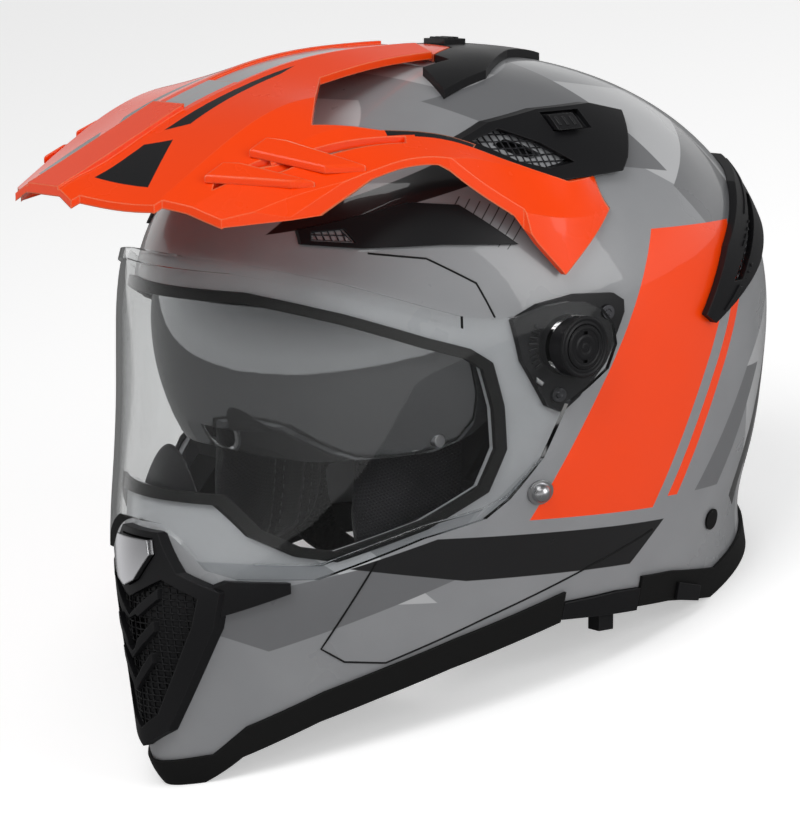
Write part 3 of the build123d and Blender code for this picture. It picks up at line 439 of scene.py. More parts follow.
lift = node(tree, "MapRange", {"Value": flake.outputs["Fac"], "From Min": 0.35, "From Max": 0.65,
                               "To Min": 0.0, "To Max": 0.35})
clouded = node(tree, "Mix", {"Factor": lift.outputs[0], 6: (0.25, 0.255, 0.265, 1),
                             7: (0.33, 0.335, 0.345, 1)}, data_type="RGBA")
paint_over(shell_paint, clouded.outputs[2], [
    (pale_shards, (0.46, 0.465, 0.475)), (dark_shards, (0.15, 0.153, 0.16)),
    (orange_band, graphic_orange), (black_wedges, graphic_black),
    (fine_lines, (0.02, 0.02, 0.021))])
print("shell paint", len(tree.nodes), "nodes")

# %% Peak paint
# The peak's pale orange corners are a painted highlight along its creases.
peak_paint = hard_finish("peak_paint", graphic_orange, 0.26, grain=1800.0, bump=0.01, coat=0.3, edge_wear_and_highlight=0.75,
                         radius=0.0009, specular=0.2, edge=(1.0, 0.34, 0.16))
tree = peak_paint.node_tree
place = use(tree, worn_place)
top_view = place.outputs["Top"]
black_bars = shapes(tree, top_view, [
    [(17, -160), (40, -150), (26, -128), (17, -136)],
    [(17, -126), (24, -118), (20, -70), (17, -60)],
    [(78, -62), (84, -64), (104, 10), (99, 12)],
    [(86, -52), (88, -53), (106, 2), (104.5, 3)]])
grey_bars = shapes(tree, top_view, [[(0, -112), (9, -112), (9, -20), (0, -20)]])
paint_over(peak_paint, (*graphic_orange, 1), [
    (grey_bars, (0.36, 0.365, 0.375)), (black_bars, graphic_black)])
print("peak paint", len(tree.nodes), "nodes")

# %% [markdown]
# Clear and smoked parts
#
# The shield is clear and lets the lamps' light straight through, or the face behind it would
# be in the dark. Its thick lower rim is painted greyer with a mask again: painted shade for
# the darker look of the thick clear edge. The sun visor is a smoked mirror: from outside it
# shows the studio and not what lies behind it.

# %% Clear shield
clear_ior = 1.3
clear_white, rim_shade_colour = (0.96, 0.97, 0.97), (0.7, 0.72, 0.73)


def clear_finish(name, colour, through, roughness):
    """A clear moulding that lamps shine through."""
    look, tree, shader = new_look(name)
    wire(tree, shader, {"Base Color": (*colour, 1), "Transmission Weight": through, "IOR": clear_ior,
                        "Roughness": roughness})
    open_for_lamps = node(tree, "BsdfTransparent", {"Color": (*[value ** 0.5 for value in colour], 1)})
    path = node(tree, "LightPath")
    mix = node(tree, "MixShader", {0: path.outputs["Is Shadow Ray"], 1: shader.outputs[0],
                                   2: open_for_lamps.outputs[0]})
    tree.links.new(mix.outputs[0], tree.nodes["Material Output"].inputs["Surface"])
    return look


clear_shield = clear_finish("clear_shield", clear_white, 1.0, 0.02)
tree = clear_shield.node_tree
place = use(tree, worn_place)
# The grey lower rim is painted shade for the darker look of the thick clear edge.
rim_shade_mask = shapes(tree, place.outputs["Side"], [
    [(-8, -40), (-15, -48), (-34, -66), (-44, -80), (-20, -70)],
    [(-34, -66), (-71, -80), (-90, -88.5), (-90, -104), (-44, -84)],
    [(-90, -88.5), (-112, -89), (-130, -89), (-130, -104), (-90, -104)]])
rim_shade = node(tree, "Mix", {"Factor": rim_shade_mask, 6: (*clear_white, 1), 7: (*rim_shade_colour, 1)},
                 data_type="RGBA")
tree.links.new(rim_shade.outputs[2], tree.nodes["Principled BSDF"].inputs["Base Color"])
print(clear_shield.name, len(tree.nodes), "nodes")

# %% Tinted sun visor
mirror_tint = hard_finish("mirror_tint", (0.24, 0.243, 0.25), 0.05, grain=1800.0, bump=0.0, metallic=0.92,
                          edge_wear_and_highlight=0.2, radius=0.0008)
print(mirror_tint.name)

# %% [markdown]
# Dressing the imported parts
#
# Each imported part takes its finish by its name, without left or right, because a pair shares
# one finish. What isn't listed is satin black.

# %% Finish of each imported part
finishes = {
    "outer_shell": shell_paint, "peak": peak_paint, "peak_rear_piece": peak_paint,
    "face_shield": clear_shield, "sun_visor": mirror_tint, "base_trim": rubber_black,
    "eye_port_seal": rubber_black, "eps_liner": crush_foam, "eps_chin": crush_foam,
    "chin_button": bright_trim, "pivot_screws": dark_steel, "side_stud": steel, "rear_plug": rubber_black,
    "d_rings": steel, "strap_rivet": steel, "visor_rivet": steel, "top_vent_slider": gloss_black,
    "crown_slider": gloss_black,
}
for name, part in nodes.items():
    for side_name in ("_left", "_right"):
        name = name.removesuffix(side_name)
    part.data.materials.clear()
    part.data.materials.append(finishes.get(name, satin_black))
print(len(nodes), "parts dressed")

# %% [markdown]
# Knitted and woven cloth
#
# The lining is a brushed knit over foam, the chin straps are dense woven tape, and the chin
# curtain is a thin ribbed cloth. All three are threads that cross, so one group makes two
# crossing waves and hands out their height and a slow change of tone. It reads the object's
# own coordinates, because a remeshed pad has no UV map. Sheen gives the pale rim of napped cloth.

# %% Weave
wave_period = 0.314
woven, takes, gives = group("woven", [("Thread", "Float", 0.0012), ("Fuzz", "Float", 0.3)],
                            [("Height", "Float"), ("Tone", "Float")])
spot = node(woven, "TexCoord")
tightness = node(woven, "Math", {0: wave_period, 1: takes.outputs["Thread"]}, operation="DIVIDE")
leaning = node(woven, "Mapping", {"Vector": spot.outputs["Object"], "Rotation": (0.5, 0.9, 1.55)})
warp = node(woven, "TexWave", {"Vector": spot.outputs["Object"], "Scale": tightness.outputs[0],
                               "Distortion": takes.outputs["Fuzz"]}, bands_direction="DIAGONAL")
weft = node(woven, "TexWave", {"Vector": leaning.outputs[0], "Scale": tightness.outputs[0],
                               "Distortion": takes.outputs["Fuzz"]}, bands_direction="DIAGONAL")
crossing = node(woven, "Math", {0: warp.outputs["Fac"], 1: weft.outputs["Fac"]}, operation="MAXIMUM")
patches = node(woven, "TexNoise", {"Vector": spot.outputs["Object"], "Scale": 45.0, "Detail": 3.0})
woven.links.new(crossing.outputs[0], gives.inputs["Height"])
woven.links.new(patches.outputs["Fac"], gives.inputs["Tone"])
print(woven.name, len(woven.nodes), "nodes")


# %% Recipe for cloth finishes
def cloth_finish(name, dark, light, thread, relief, sheen, roughness=0.86):
    """Cloth whose threads run from a dark colour in their gaps to a light one on their crests, as painted
    shade in the weave.
    """
    look, tree, shader = new_look(name)
    wire(tree, shader, {"Roughness": roughness, "Sheen Weight": sheen, "Sheen Roughness": 0.4,
                        "Specular IOR Level": 0.15})
    threads = use(tree, woven, Thread=thread)
    # Crests are painted light and gaps dark, painted shade in the weave, broken up by a random tone.
    lit = node(tree, "Math", {0: threads.outputs["Height"], 1: threads.outputs["Tone"]}, operation="MULTIPLY")
    colour = node(tree, "Mix", {"Factor": lit.outputs[0], 6: (*dark, 1), 7: (*light, 1)}, data_type="RGBA")
    tree.links.new(colour.outputs[2], shader.inputs["Base Color"])
    raised = node(tree, "Bump", {"Strength": relief, "Distance": 0.3 * thread,
                                 "Height": threads.outputs["Height"]})
    tree.links.new(raised.outputs[0], shader.inputs["Normal"])
    return look


pad_knit = cloth_finish("pad_knit", (0.006, 0.006, 0.007), (0.034, 0.034, 0.037), 0.0011, 0.6, 0.12)
strap_tape = cloth_finish("strap_tape", (0.004, 0.004, 0.004), (0.028, 0.028, 0.03), 0.0015, 0.9, 0.05, 0.7)
curtain_cloth = cloth_finish("curtain_cloth", (0.003, 0.003, 0.003), (0.018, 0.018, 0.019), 0.0018, 0.7, 0.06)
thread_grey = cloth_finish("thread_grey", (0.05, 0.05, 0.052), (0.16, 0.16, 0.165), 0.0004, 0.8, 0.1)
print("cloths", [m.name for m in (pad_knit, strap_tape, curtain_cloth, thread_grey)])

# %% [markdown]
# Blown-up pads
#
# A pad is foam pulled into a sewn cover, so its faces crown and its sides pull in at the
# seams. Blender's cloth simulation makes that shape by itself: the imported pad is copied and
# remeshed into even squares, drawn in a little, and blown up by pressure with gravity off.
# A limit on how far a point may move keeps the pad in its own space. The seams are pressed
# in afterwards, because remeshing would rub them out.

# %% New pieces
def modify(piece, kind, **options):
    """Add a modifier with its options."""
    added = piece.modifiers.new(kind.lower(), kind)
    for option, value in options.items():
        setattr(added, option, value)


def piece_from(name, bm, look, body="helmet", smooth=True):
    """Turn a finished bmesh into a piece that rides on a body."""
    mesh = bpy.data.meshes.new(name)
    bm.to_mesh(mesh)
    bm.free()
    for polygon in mesh.polygons:
        polygon.use_smooth = smooth
    mesh.materials.append(look)
    piece = bpy.data.objects.new(name, mesh)
    bpy.context.scene.collection.objects.link(piece)
    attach(piece, body)
    return piece


def bake_modifiers(piece):
    """Put the piece's modified mesh in place of its own."""
    now = bpy.context.evaluated_depsgraph_get()
    shaped = bpy.data.meshes.new_from_object(piece.evaluated_get(now))
    piece.modifiers.clear()
    piece.data = shaped
    shaped.name = piece.name


def drawn_mesh(curve):
    """A bmesh of a curve's shape."""
    drawn = bpy.data.objects.new(curve.name, curve)
    bm = bmesh.new()
    bm.from_mesh(bpy.data.meshes.new_from_object(drawn))
    bpy.data.objects.remove(drawn)
    return bm


def merged(part):
    """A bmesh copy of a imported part, its loose triangles joined."""
    bm = bmesh.new()
    bm.from_mesh(part.data)
    bmesh.ops.remove_doubles(bm, verts=bm.verts, dist=0.01 * mm)
    return bm


# %% Start of each pad
pad_squares = {"cheek_pad_left": 4.0, "cheek_pad_right": 4.0, "crown_pad": 2.6, "neck_roll": 4.0}
pad_drawn_in = {"cheek_pad_left": 2.5, "cheek_pad_right": 2.5, "crown_pad": 0.8, "neck_roll": 1.8}
pad_furthest = {"cheek_pad_left": 6.0, "cheek_pad_right": 6.0, "crown_pad": 5.0, "neck_roll": 5.0}
pads, starts = {}, {}
for name, square in pad_squares.items():
    pad = piece_from(name + "_cover", merged(nodes[name]), pad_knit)
    modify(pad, "REMESH", mode="VOXEL", voxel_size=square * mm)
    modify(pad, "DISPLACE", mid_level=0.0, strength=-pad_drawn_in[name] * mm)
    bake_modifiers(pad)
    pads[name] = pad
    starts[name] = [vertex.co.copy() for vertex in pad.data.vertices]
    print(pad.name, len(pad.data.vertices), "points")

# %% Blow them up
last_frame, pad_pressure = 20, 4.0
for pad in pads.values():
    swell = pad.modifiers.new("swell", "CLOTH")
    swell.settings.use_pressure = True
    swell.settings.uniform_pressure_force = pad_pressure
    swell.settings.effector_weights.gravity = 0.0
    swell.point_cache.frame_start, swell.point_cache.frame_end = 1, last_frame
for frame_number in range(1, last_frame + 1):
    bpy.context.scene.frame_set(frame_number)
for name, pad in pads.items():
    bake_modifiers(pad)
    furthest = pad_furthest[name] * mm
    for vertex, start in zip(pad.data.vertices, starts[name]):
        move = vertex.co - start
        if move.length > furthest:
            vertex.co = start + move.normalized() * furthest
bpy.context.scene.frame_set(1)
for pad in pads.values():
    modify(pad, "SUBSURF", levels=1, render_levels=1)
    bake_modifiers(pad)
    for polygon in pad.data.polygons:
        polygon.use_smooth = True
print("pads", {name: len(pad.data.polygons) for name, pad in pads.items()})

# %% [markdown]
# Seams and stitches
#
# A sewn channel is a valley that follows a line, deepest in the middle. Each point of the pad
# near the line is pressed in along one direction, with a smooth profile. The thread itself is
# a row of small rounded stitches that lie on the cover, made from one stitch turned and moved.

# %% Pressed seams
turned_away = -0.2


def press(pad, line, inward, half_width, depth):
    """Press a valley into a pad along a line of worn places; inward is a worn direction."""
    inward = along(*inward)
    run = [at(*place) for place in line]
    for vertex in pad.data.vertices:
        if vertex.normal.dot(inward) > turned_away:
            continue
        nearest = half_width * mm
        for start, end in zip(run, run[1:]):
            way = end - start
            share = max(0.0, min(1.0, (vertex.co - start).dot(way) / way.length_squared))
            apart = vertex.co - (start + way * share)
            nearest = min(nearest, (apart - inward * apart.dot(inward)).length)
        vertex.co += inward * depth * mm * (0.5 + 0.5 * cos(pi * nearest / (half_width * mm)))


def surface_of(*pieces):
    """A tree of the faces of some pieces, to drop things onto."""
    corners, faces = [], []
    for piece in pieces:
        first = len(corners)
        corners += [vertex.co.copy() for vertex in piece.data.vertices]
        faces += [[first + index for index in polygon.vertices] for polygon in piece.data.polygons]
    return BVHTree.FromPolygons(corners, faces)


stitch_search, stitch_lift = 30.0, 0.1


def stitch_row(name, piece, line, inward, length=2.6, gap=1.4, thick=0.7):
    """Stitches along a line of worn places, dropped onto a piece."""
    inward = along(*inward)
    ground = surface_of(piece)
    sewn = 0
    bm = bmesh.new()
    for start, end in zip(line, line[1:]):
        start, end = at(*start), at(*end)
        way = (end - start).normalized()
        count = int((end - start).length / ((length + gap) * mm))
        for step in range(count):
            place = start + way * (length + gap) * mm * (step + 0.5)
            hit, normal, _, _ = ground.ray_cast(place - inward * stitch_search * mm, inward)
            if hit is None:
                continue
            sewn += 1
            one = bmesh.ops.create_icosphere(bm, subdivisions=1, radius=0.5 * mm)["verts"]
            bmesh.ops.scale(bm, verts=one, vec=(length, thick, thick))
            side_way = normal.cross(way).normalized()
            turn = Matrix((way - normal * way.dot(normal), side_way, normal)).transposed().to_4x4()
            raised = Matrix.Translation(hit + normal * stitch_lift * mm)
            bmesh.ops.transform(bm, verts=one, matrix=raised @ turn)
    piece_from(name, bm, thread_grey)
    print(name, sewn, "stitches")


# %% Cheek pads
pad_turn = radians(26.5)
pad_middle = Vector((73.5, -21.0, -66.0))
pad_along = Vector((sin(pad_turn), cos(pad_turn), 0))
pad_inward = Vector((cos(pad_turn), -sin(pad_turn), 0))
channel_places, channel_heights, channel_clearance = (-13.4, 16.8), (-36, -12, 12, 36), 20
channel_half_width, channel_depth, stitch_offset = 5.0, 2.6, 4.6
for side_name, sign in sides:
    pad = pads["cheek_pad_" + side_name]
    inward = (sign * pad_inward.x, pad_inward.y, 0)
    for number, offset in enumerate(channel_places):
        place = pad_middle + pad_along * offset - pad_inward * channel_clearance
        line = [(sign * place.x, place.y, place.z + height) for height in channel_heights]
        press(pad, line, inward, channel_half_width, channel_depth)
        for edge, shift in (("front", -stitch_offset), ("back", stitch_offset)):
            row = [(x + sign * pad_along.x * shift, y + pad_along.y * shift, z) for x, y, z in line]
            stitch_row(f"cheek_stitch_{side_name}_{number}_{edge}", pad, row, inward)
    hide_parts("cheek_pad_" + side_name)

# %% Crown pad and neck roll
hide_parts("crown_pad")
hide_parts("neck_roll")
print("replaced", "crown_pad", "neck_roll")

# %% [markdown]
# Chin straps
#
# A chin strap is flat woven tape. One side ends in a loop sewn round two steel rings, and the
# other side's free end is drawn back through them. A tape isn't blown up, so it is modelled
# directly: a smooth line is drawn as seen from the front, extruded across the tape's width
# and given its thickness.

# %% Woven tape
tape_front, tape_width, tape_wall, tape_steps = 23.0, 24.0, 1.9, 8
selvedge_radius = 0.5
strap_run = [(103.95, -81), (103.95, -97), (97.0, -106), (95.8, -114), (60.5, -122)]


def tape(name, run, sign):
    """A strap along a smooth line through these front-view points."""
    curve = bpy.data.curves.new(name + "_line", "CURVE")
    curve.dimensions, curve.resolution_u = "3D", 10
    spline = curve.splines.new("NURBS")
    spline.points.add(len(run) - 1)
    for point, (x, z) in zip(spline.points, run):
        point.co = (*at(sign * x, tape_front, z), 1)
    spline.order_u = 3
    spline.use_endpoint_u = True
    bm = drawn_mesh(curve)
    edge = list(bm.edges)
    for _ in range(tape_steps):
        grown = bmesh.ops.extrude_edge_only(bm, edges=edge)["geom"]
        edge = [item for item in grown if isinstance(item, bmesh.types.BMEdge)]
        bmesh.ops.translate(bm, verts=[item for item in grown if isinstance(item, bmesh.types.BMVert)],
                            vec=along(0, 1, 0) * tape_width / tape_steps * mm)
    bmesh.ops.recalc_face_normals(bm, faces=bm.faces)
    made = piece_from(name, bm, strap_tape)
    modify(made, "SOLIDIFY", thickness=tape_wall * mm, offset=0)
    modify(made, "BEVEL", width=selvedge_radius * mm, segments=2)
    bake_modifiers(made)
    for polygon in made.data.polygons:
        polygon.use_smooth = True
    print(name, len(made.data.polygons), "faces")
    return made


left_tape = tape("chin_tape_left", strap_run + [(30, -125.2), (3, -126)], 1)
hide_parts("chin_strap_left")
loop_run = [(34, -124.2), (27, -120.9), (19.4, -120.9), (18.3, -126), (19.4, -131.1), (27, -131.1),
            (33, -127.4), (48, -126.0)]
right_tape = tape("chin_tape_right", strap_run + loop_run, -1)
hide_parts("chin_strap_right")

# %% Tape stitching
sewn_margin, below_tape = 4, -140
near, far = tape_front + sewn_margin, tape_front + tape_width - sewn_margin
for name, piece, first, last in (("left", left_tape, 8, 24), ("right", right_tape, -33, -46)):
    box = [(first, near), (last, near), (last, far), (first, far), (first, near), (last, far)]
    stitch_row("tape_stitch_" + name, piece, [(x, y, below_tape) for x, y in box], (0, 0, 1),
               length=2.2, gap=0.9, thick=0.6)

# %% [markdown]
# Chin curtain
#
# A curtain of thin cloth closes the gap between the chin bar and the throat, so that no wind
# blows up behind the shield. It is stretched along the inside of the chin bar's lower edge,
# and its free edge hangs a little. A grid is pulled onto that curve: each row of its points
# starts on the wall, found with a ray, and runs back towards the neck. The wall leans, so the
# ray is cast again at the height where it met the wall, until the two agree.

# %% Stretched curtain
chin_foam = surface_of(nodes["eps_chin"], nodes["outer_shell"])
curtain_turn, curtain_depth, curtain_wall = 78.0, 46.0, 1.0
curtain_sag, curtain_fall = 5.0, 2.0
curtain_middle, first_height, usual_reach = -34.0, -145.0, 60.0
wall_gap, free_edge_reach = 1.0, 12.0
chin_edge_front, chin_edge_slope, chin_edge_start = -117, 0.6, -30.5
across_count, deep_count = 28, 8


def chin_edge_height(y):
    """Height of the curtain's fixed edge, a little above the helmet's lower edge."""
    return chin_edge_front + (y - chin_edge_start) * chin_edge_slope


bm = bmesh.new()
bmesh.ops.create_grid(bm, x_segments=across_count, y_segments=deep_count, size=1.0)
for vertex in bm.verts:
    turn = radians(curtain_turn * vertex.co.x)
    depth = (1 - vertex.co.y) / 2
    outward, height = Vector((sin(turn), -cos(turn), 0)), first_height
    for _ in range(4):
        middle = at(0, curtain_middle, height)
        wall, _, _, _ = chin_foam.ray_cast(middle, along(*outward))
        reach = (wall - middle).length / mm if wall else usual_reach
        height = chin_edge_height(curtain_middle + outward.y * reach)
    hang = curtain_sag * sin(pi * min(1.0, depth)) + curtain_fall * depth
    inner = reach - wall_gap - depth * min(curtain_depth, reach - free_edge_reach)
    vertex.co = at(outward.x * inner, curtain_middle + outward.y * inner, height - hang)
curtain_flat = sum(face.calc_area() for face in bm.faces)
curtain = piece_from("chin_curtain", bm, curtain_cloth)
modify(curtain, "SOLIDIFY", thickness=curtain_wall * mm, offset=0)
bake_modifiers(curtain)
print("curtain area", round(curtain_flat, 5), "m2")

# %% [markdown]
# Pieces laid on a surface
#
# Nets, ribs, teeth and plates all lie on something. One recipe makes them: a flat grid is
# trimmed to the piece's outline, as it is seen from the side, the front or above, and each of
# its points is dropped onto the surface that carries it. Solidify gives a plate its wall, and
# Wireframe turns a sheet into a net. The shell's own skin is taken as its convex hull, so that
# a net crosses the shell's holes smoothly.

# %% Laid pieces
views = {"side": (Vector((0, 1, 0)), Vector((0, 0, 1)), Vector((-1, 0, 0))),
         "front": (Vector((1, 0, 0)), Vector((0, 0, 1)), Vector((0, 1, 0))),
         "top": (Vector((1, 0, 0)), Vector((0, 1, 0)), Vector((0, 0, -1)))}
hull = merged(nodes["outer_shell"])
wrapping = bmesh.ops.convex_hull(hull, input=hull.verts)
unused = {item for item in wrapping["geom_interior"] + wrapping["geom_unused"]
          if isinstance(item, bmesh.types.BMVert)}
bmesh.ops.delete(hull, geom=list(unused), context="VERTS")
shell_skin = BVHTree.FromBMesh(hull)
hull.free()
outside = 300


def laid(name, outline, view, ground, lift, look, slot, wall=0.0, net=0.0, cell=2.0, sign=1, body="helmet",
         rounding=0.3):
    """A plate or net with a convex outline, dropped onto a surface."""
    rightward, upward, way = views[view]
    loop = outline if turns_left(outline) else outline[::-1]
    us, vs = zip(*loop)
    wide, high = max(us) - min(us), max(vs) - min(vs)
    bm = bmesh.new()
    bmesh.ops.create_grid(bm, x_segments=max(2, round(wide / cell)), y_segments=max(2, round(high / cell)),
                          size=0.5)
    bmesh.ops.scale(bm, verts=bm.verts, vec=(wide, high, 1))
    bmesh.ops.translate(bm, verts=bm.verts, vec=((max(us) + min(us)) / 2, (max(vs) + min(vs)) / 2, 0))
    for (au, av), (bu, bv) in zip(loop, loop[1:] + loop[:1]):
        bmesh.ops.bisect_plane(bm, geom=bm.verts[:] + bm.edges[:] + bm.faces[:], dist=0.001,
                               plane_co=(au, av, 0), plane_no=(bv - av, au - bu, 0), clear_outer=True)
    down = along(way.x * sign, way.y, way.z)
    missed = []
    for vertex in bm.verts:
        place = rightward * vertex.co.x + upward * vertex.co.y - way * outside
        hit, _, _, _ = ground.ray_cast(at(place.x * sign, place.y, place.z), down)
        if hit is None:
            missed.append(vertex)
        else:
            vertex.co = hit - down * lift * mm
    bmesh.ops.delete(bm, geom=missed, context="VERTS")
    bm.normal_update()
    if sum(face.normal.dot(down) for face in bm.faces) > 0:
        bmesh.ops.reverse_faces(bm, faces=bm.faces)
    made = piece_from(name, bm, look, body)
    if net:
        modify(made, "WIREFRAME", thickness=net * mm)
    if wall:
        modify(made, "SOLIDIFY", thickness=wall * mm, offset=-1)
        modify(made, "BEVEL", width=rounding * mm, segments=2)
    bake_modifiers(made)
    for polygon in made.data.polygons:
        polygon.use_smooth = not wall


def both_sides(name, outline, view, grounds, lift, look, slot, bodies=("helmet", "helmet"), **options):
    """The same laid piece on the left and on the right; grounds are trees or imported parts' names."""
    for side_name, sign, body in (("left", 1, bodies[0]), ("right", -1, bodies[1])):
        ground = grounds if isinstance(grounds, BVHTree) else surface_of(nodes[f"{grounds}_{side_name}"])
        laid(f"{name}_{side_name}", outline, view, ground, lift, look, slot, sign=sign, body=body, **options)


print("recipes: laid, both_sides")

# %% Nets in the vents
both_sides("crown_net", [(-19, 81.5), (-6, 86), (7, 80), (18, 72.5), (6, 70), (-6, 73.5)], "side", shell_skin,
           0.4, dark_steel, "black_satin", net=0.7, cell=2.6)
both_sides("exhaust_net", [(92.7, 19.2), (99.9, 19.2), (135.9, 50.9), (128.7, 53.1)], "side", shell_skin, 0.5,
           dark_steel, "black_satin", net=0.7, cell=2.6)
both_sides("chin_net", [(0.3, -107), (16.4, -98.5), (29.5, -105), (26.5, -117), (9, -156), (0.3, -163)],
           "front", shell_skin, 2.7, satin_black, "black_satin", net=0.8, cell=2.8)
both_sides("brow_net", [(-82.5, 42.8), (-81.5, 45.8), (-73.5, 47.2), (-71.5, 42.4)], "side", shell_skin, 0.3,
           dark_steel, "black_satin", net=0.6, cell=2.0)

# %% [markdown]
# Louvres in the peak
#
# Two scoops on each side of the peak let air through without lifting it. Each has a sloping
# floor under its opening and a raised hood. Both are flat plates: one face whose corners are
# set off from the peak's own face, extruded to a wall and rounded.

# %% Louvre floors and hoods
def worn_height(place):
    """Height above the pivot axis, on the worn helmet, of a place on the table."""
    return (tip_back.inverted() @ (place - pivot)).z / mm


peak_top = surface_of(nodes["peak"])
usual_peak_height = 60


def peak_plate(name, outline, rises, wall, margin, sign, rounding=0.4):
    """A flat plate over the peak, each corner raised above the peak's face by its own rise."""
    middle = sum((Vector(corner) for corner in outline), Vector((0, 0))) / len(outline)
    bm = bmesh.new()
    corners = []
    for corner, rise in zip(outline, rises):
        x, y = Vector(corner) + (Vector(corner) - middle).normalized() * margin
        hit, _, _, _ = peak_top.ray_cast(at(sign * x, y, outside), along(0, 0, -1))
        if hit is None:
            beside = corners[-1].co if corners else at(sign * x, y, usual_peak_height)
            hit, _, _, _ = peak_top.find_nearest(at(sign * x, y, worn_height(beside)))
        corners.append(bm.verts.new(at(sign * x, y, worn_height(hit) + rise)))
    face = bm.faces.new(corners)
    under = bmesh.ops.extrude_face_region(bm, geom=[face])["geom"]
    bmesh.ops.translate(bm, verts=[item for item in under if isinstance(item, bmesh.types.BMVert)],
                        vec=along(0, 0, -1) * wall * mm)
    bmesh.ops.recalc_face_normals(bm, faces=bm.faces)
    made = piece_from(name, bm, peak_paint, smooth=False)
    modify(made, "BEVEL", width=rounding * mm, segments=3)
    bake_modifiers(made)


louvres = [[(71.9, -117.4), (90.0, -59.3), (86.6, -57.0), (69.0, -114.0)],
           [(62.0, -134.5), (70.0, -111.7), (67.0, -110.0), (59.5, -131.1)]]
hoods = [[(62, -117), (60.5, -107), (67, -101.5), (94, -82), (86, -97)],
         [(58, -136), (57, -126), (62, -121), (87, -102), (82, -111)]]
floor_rise, floor_wall, floor_margin = -2.9, 1.4, 2.2
hood_rises, hood_wall, hood_rounding = [4.0, 1.8, 1.8, 2.4, 4.2], 3.4, 0.9
for side_name, sign in sides:
    for number, outline in enumerate(louvres):
        peak_plate(f"louvre_floor_{side_name}_{number}", outline, [floor_rise] * len(outline), floor_wall,
                   floor_margin, sign)
    for number, outline in enumerate(hoods):
        peak_plate(f"louvre_hood_{side_name}_{number}", outline, hood_rises, hood_wall, 0.0, sign,
                   rounding=hood_rounding)

# %% [markdown]
# Turned parts
#
# The shield turns on a hub with a ring round it, and its knob has a grooved face. A turned
# part is a short profile of radius and height, spun once round its axis; the first and last
# copies are merged, and the normals are worked out again, because the right-hand one is
# mirrored.

# %% Turning
turned_rounding = 0.12


def turned_part(name, profile, centre, sign, look, body="helmet", segments=64):
    """A profile of radius and height in millimetres, spun about the worn X axis at a worn place."""
    bm = bmesh.new()
    points = [bm.verts.new((height, radius, 0)) for radius, height in profile]
    edges = [bm.edges.new(pair) for pair in zip(points, points[1:])]
    bmesh.ops.spin(bm, geom=points + edges, axis=(1, 0, 0), cent=(0, 0, 0), dvec=(0, 0, 0), angle=2 * pi,
                   steps=segments, use_merge=True)
    bmesh.ops.remove_doubles(bm, verts=bm.verts, dist=0.001)
    x, y, z = centre
    bmesh.ops.transform(bm, verts=bm.verts,
                        matrix=Matrix.Translation(at(sign * x, y, z)) @ tip_back.to_4x4()
                        @ Matrix.Diagonal((sign * mm, mm, mm, 1)))
    bmesh.ops.recalc_face_normals(bm, faces=bm.faces)
    made = piece_from(name, bm, look, body, smooth=False)
    modify(made, "BEVEL", width=turned_rounding * mm, segments=2, limit_method="ANGLE")
    bake_modifiers(made)


hub_dish = 0.6
hub_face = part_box("pivot_knob_left")[1][0] / mm - hub_dish
for side_name, sign in sides:
    turned_part(f"pivot_ring_{side_name}", [(9.3, -1.5), (9.3, 0.3), (9.8, 0.55), (10.5, 0.25), (11.0, 0.25),
                                            (11.5, 0.55), (12.3, 0.4), (12.4, -1.5)],
                (hub_face, 0, 0), sign, satin_black)
    turned_part(f"knob_ring_{side_name}", [(7.1, 0.1), (7.1, 0.75), (7.6, 0.95), (8.5, 0.85), (8.8, 0.1)],
                (hub_face, 0, 0), sign, satin_black, body=f"knob_{side_name}")
    turned_part(f"knob_centre_{side_name}", [(0, 0.9), (1.4, 0.9), (1.6, 0.65), (2.6, 0.65), (2.8, 0.95),
                                             (4.4, 1.0), (5.2, 0.7), (5.4, 0.1)],
                (hub_face, 0, 0), sign, satin_black, body=f"knob_{side_name}")
print("turned parts at", round(hub_face, 2), "mm")

# %% Screw sockets and rivet dimples
screws = [(17.3, 12.4), (-4.0, -20.4)]
for side_name, sign in sides:
    head = surface_of(nodes[f"pivot_screws_{side_name}"])
    for number, (y, z) in enumerate(screws):
        hit, _, _, _ = head.ray_cast(at(sign * outside, y, z), along(-sign, 0, 0))
        height = sign * (tip_back.inverted() @ (hit - pivot)).x / mm
        turned_part(f"screw_socket_{side_name}_{number}", [(0, -0.2), (1.0, -0.2), (1.25, 0.35), (1.6, 0.35),
                                                          (1.7, -0.6)],
                    (height, y, z), sign, dark_steel, segments=6)
print("screw sockets", 4)

# %% [markdown]
# Ratchet and ribs
#
# Under the shield's arm a toothed arc gives the shield its stops, beside a sprung pin. The
# sliders have ribs for a gloved thumb, and the rear spoilers have cooling ribs. All of them
# are short laid plates.

# %% Ratchet
tooth_count, ratchet_radius, ratchet_start, tooth_pitch = 8, 15.6, 150, 9
tooth_corners = [(-1.6, -0.8), (1.6, -0.45), (1.6, 0.45), (-1.6, 0.8)]
for step in range(tooth_count):
    turn = radians(ratchet_start + tooth_pitch * step)
    away, beside = Vector((cos(turn), sin(turn))), Vector((-sin(turn), cos(turn)))
    tooth = [tuple(away * (ratchet_radius + a) + beside * b) for a, b in tooth_corners]
    both_sides(f"ratchet_tooth_{step}", tooth, "side", "pivot_plate", 0.9, satin_black, "black_satin",
               wall=1.4, cell=1.5, rounding=0.2)
both_sides("spring_pin", [(-15.5, -13.5), (-11.5, -16.5), (-10.5, -15), (-14.5, -12)], "side",
           "pivot_plate", 1.2, steel, "steel", wall=1.6, cell=1.5, rounding=0.5)
print("ratchet teeth", tooth_count)

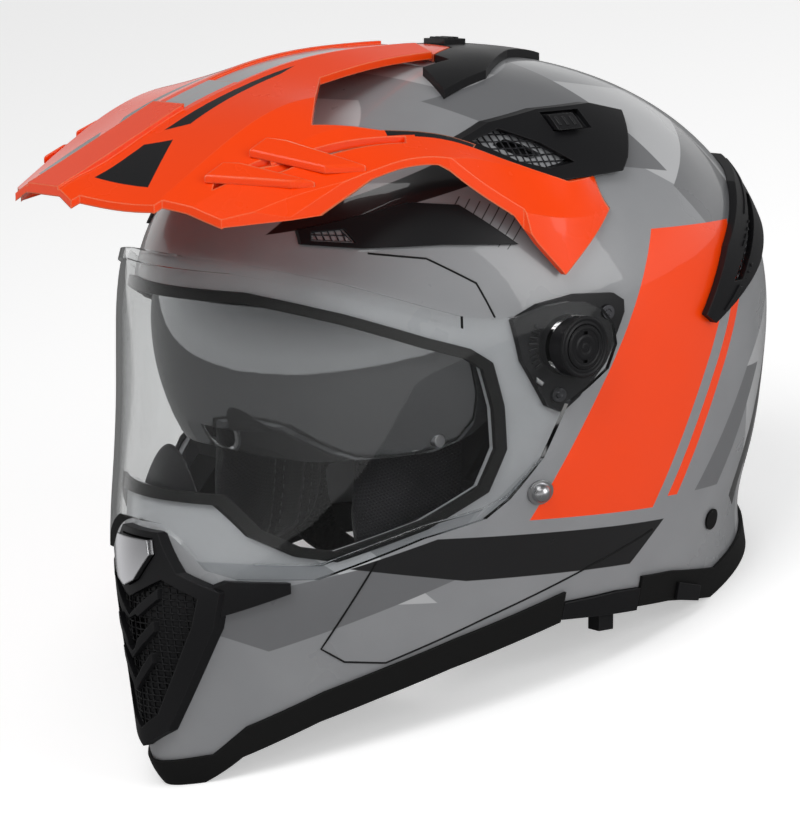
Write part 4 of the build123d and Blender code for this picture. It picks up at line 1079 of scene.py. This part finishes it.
# %% Ribs
thumb_rib_width, thumb_rib_depth, thumb_rib_pitch, thumb_rib_front = 11.2, 1.3, 3.0, 30.1
for step in range(3):
    near = thumb_rib_front + thumb_rib_pitch * step
    half, far = thumb_rib_width / 2, near + thumb_rib_depth
    laid(f"top_slider_rib_{step}", [(-half, near), (half, near), (half, far), (-half, far)], "top",
         surface_of(nodes["top_vent_slider"]), 0.7, gloss_black, "black_satin", wall=1.2, cell=2.0,
         body="top_slider")
cooling_rib = [(84, 8), (87, 8), (112, 26), (110, 28)]
for step, (back, up) in enumerate([(0, 0), (20, 25), (30, 37.5)]):
    fin = [(y + back, z + up) for y, z in cooling_rib]
    both_sides(f"spoiler_rib_{step}", fin, "side", "exhaust_vent", 0.9, satin_black, "black_satin", wall=1.6,
               cell=3.0, rounding=0.4)
crown_rib, crown_rib_pitch = [(18.4, 87), (19.6, 87), (19.6, 90.4), (18.4, 90.4)], 3.6
for step in range(3):
    ridge = [(y + crown_rib_pitch * step, z) for y, z in crown_rib]
    both_sides(f"crown_slider_rib_{step}", ridge, "side", "crown_slider", 0.6, gloss_black, "black_satin",
               wall=1.0, cell=1.5, bodies=("crown_slide_left", "crown_slide_right"), rounding=0.2)

# %% [markdown]
# Scored lines
#
# Fine dark lines run round the cheek and the brow hatch, where the moulding has a step: each is
# a black bead, which stands for the shade in that step as painted shade. A clear step runs
# along the shield's lower edge. Each is a thin bead half sunk in its surface: a chain of points
# is dropped onto the surface, joined and given a round section.

# %% Beads
def bead(name, corners, sign, radius=0.42, step=4.0, look=rubber_black, ground=shell_skin,
         body="helmet"):
    """A thin round bead on a surface, the shell's skin unless told, along side-view corners."""
    curve = bpy.data.curves.new(name, "CURVE")
    curve.dimensions, curve.bevel_depth, curve.bevel_resolution = "3D", radius * mm, 2
    places = []
    for (ay, az), (by, bz) in zip(corners, corners[1:]):
        count = max(1, round(Vector((by - ay, bz - az)).length / step))
        places += [(ay + (by - ay) * k / count, az + (bz - az) * k / count) for k in range(count)]
    places.append(corners[-1])
    spots = [ground.ray_cast(at(sign * outside, y, z), along(-sign, 0, 0))[0] for y, z in places]
    spots = [spot for spot in spots if spot is not None]
    spline = curve.splines.new("POLY")
    spline.points.add(len(spots) - 1)
    for point, spot in zip(spline.points, spots):
        point.co = (*spot, 1)
    piece_from(name, drawn_mesh(curve), look, body)


cheek_line = [(-65, -89), (-79, -127), (-70, -133), (-55, -134), (-19, -116), (25, -96), (54, -84)]
hatch_line = [(-68, 38), (-50, 36), (-34, 26), (-28, 12)]
shield_step = [(-15, -48), (-25, -61), (-34, -66), (-55, -72.5), (-71, -80), (-88, -88.5), (-108, -89)]
shield_face = surface_of(nodes["face_shield"])
for side_name, sign in sides:
    # The black cheek and hatch beads are painted shade for the step in the moulding.
    bead(f"cheek_line_{side_name}", cheek_line, sign)
    bead(f"hatch_line_{side_name}", hatch_line, sign)
    bead(f"shield_step_{side_name}", shield_step, sign, radius=0.55, look=clear_shield, ground=shield_face,
         body="shield")
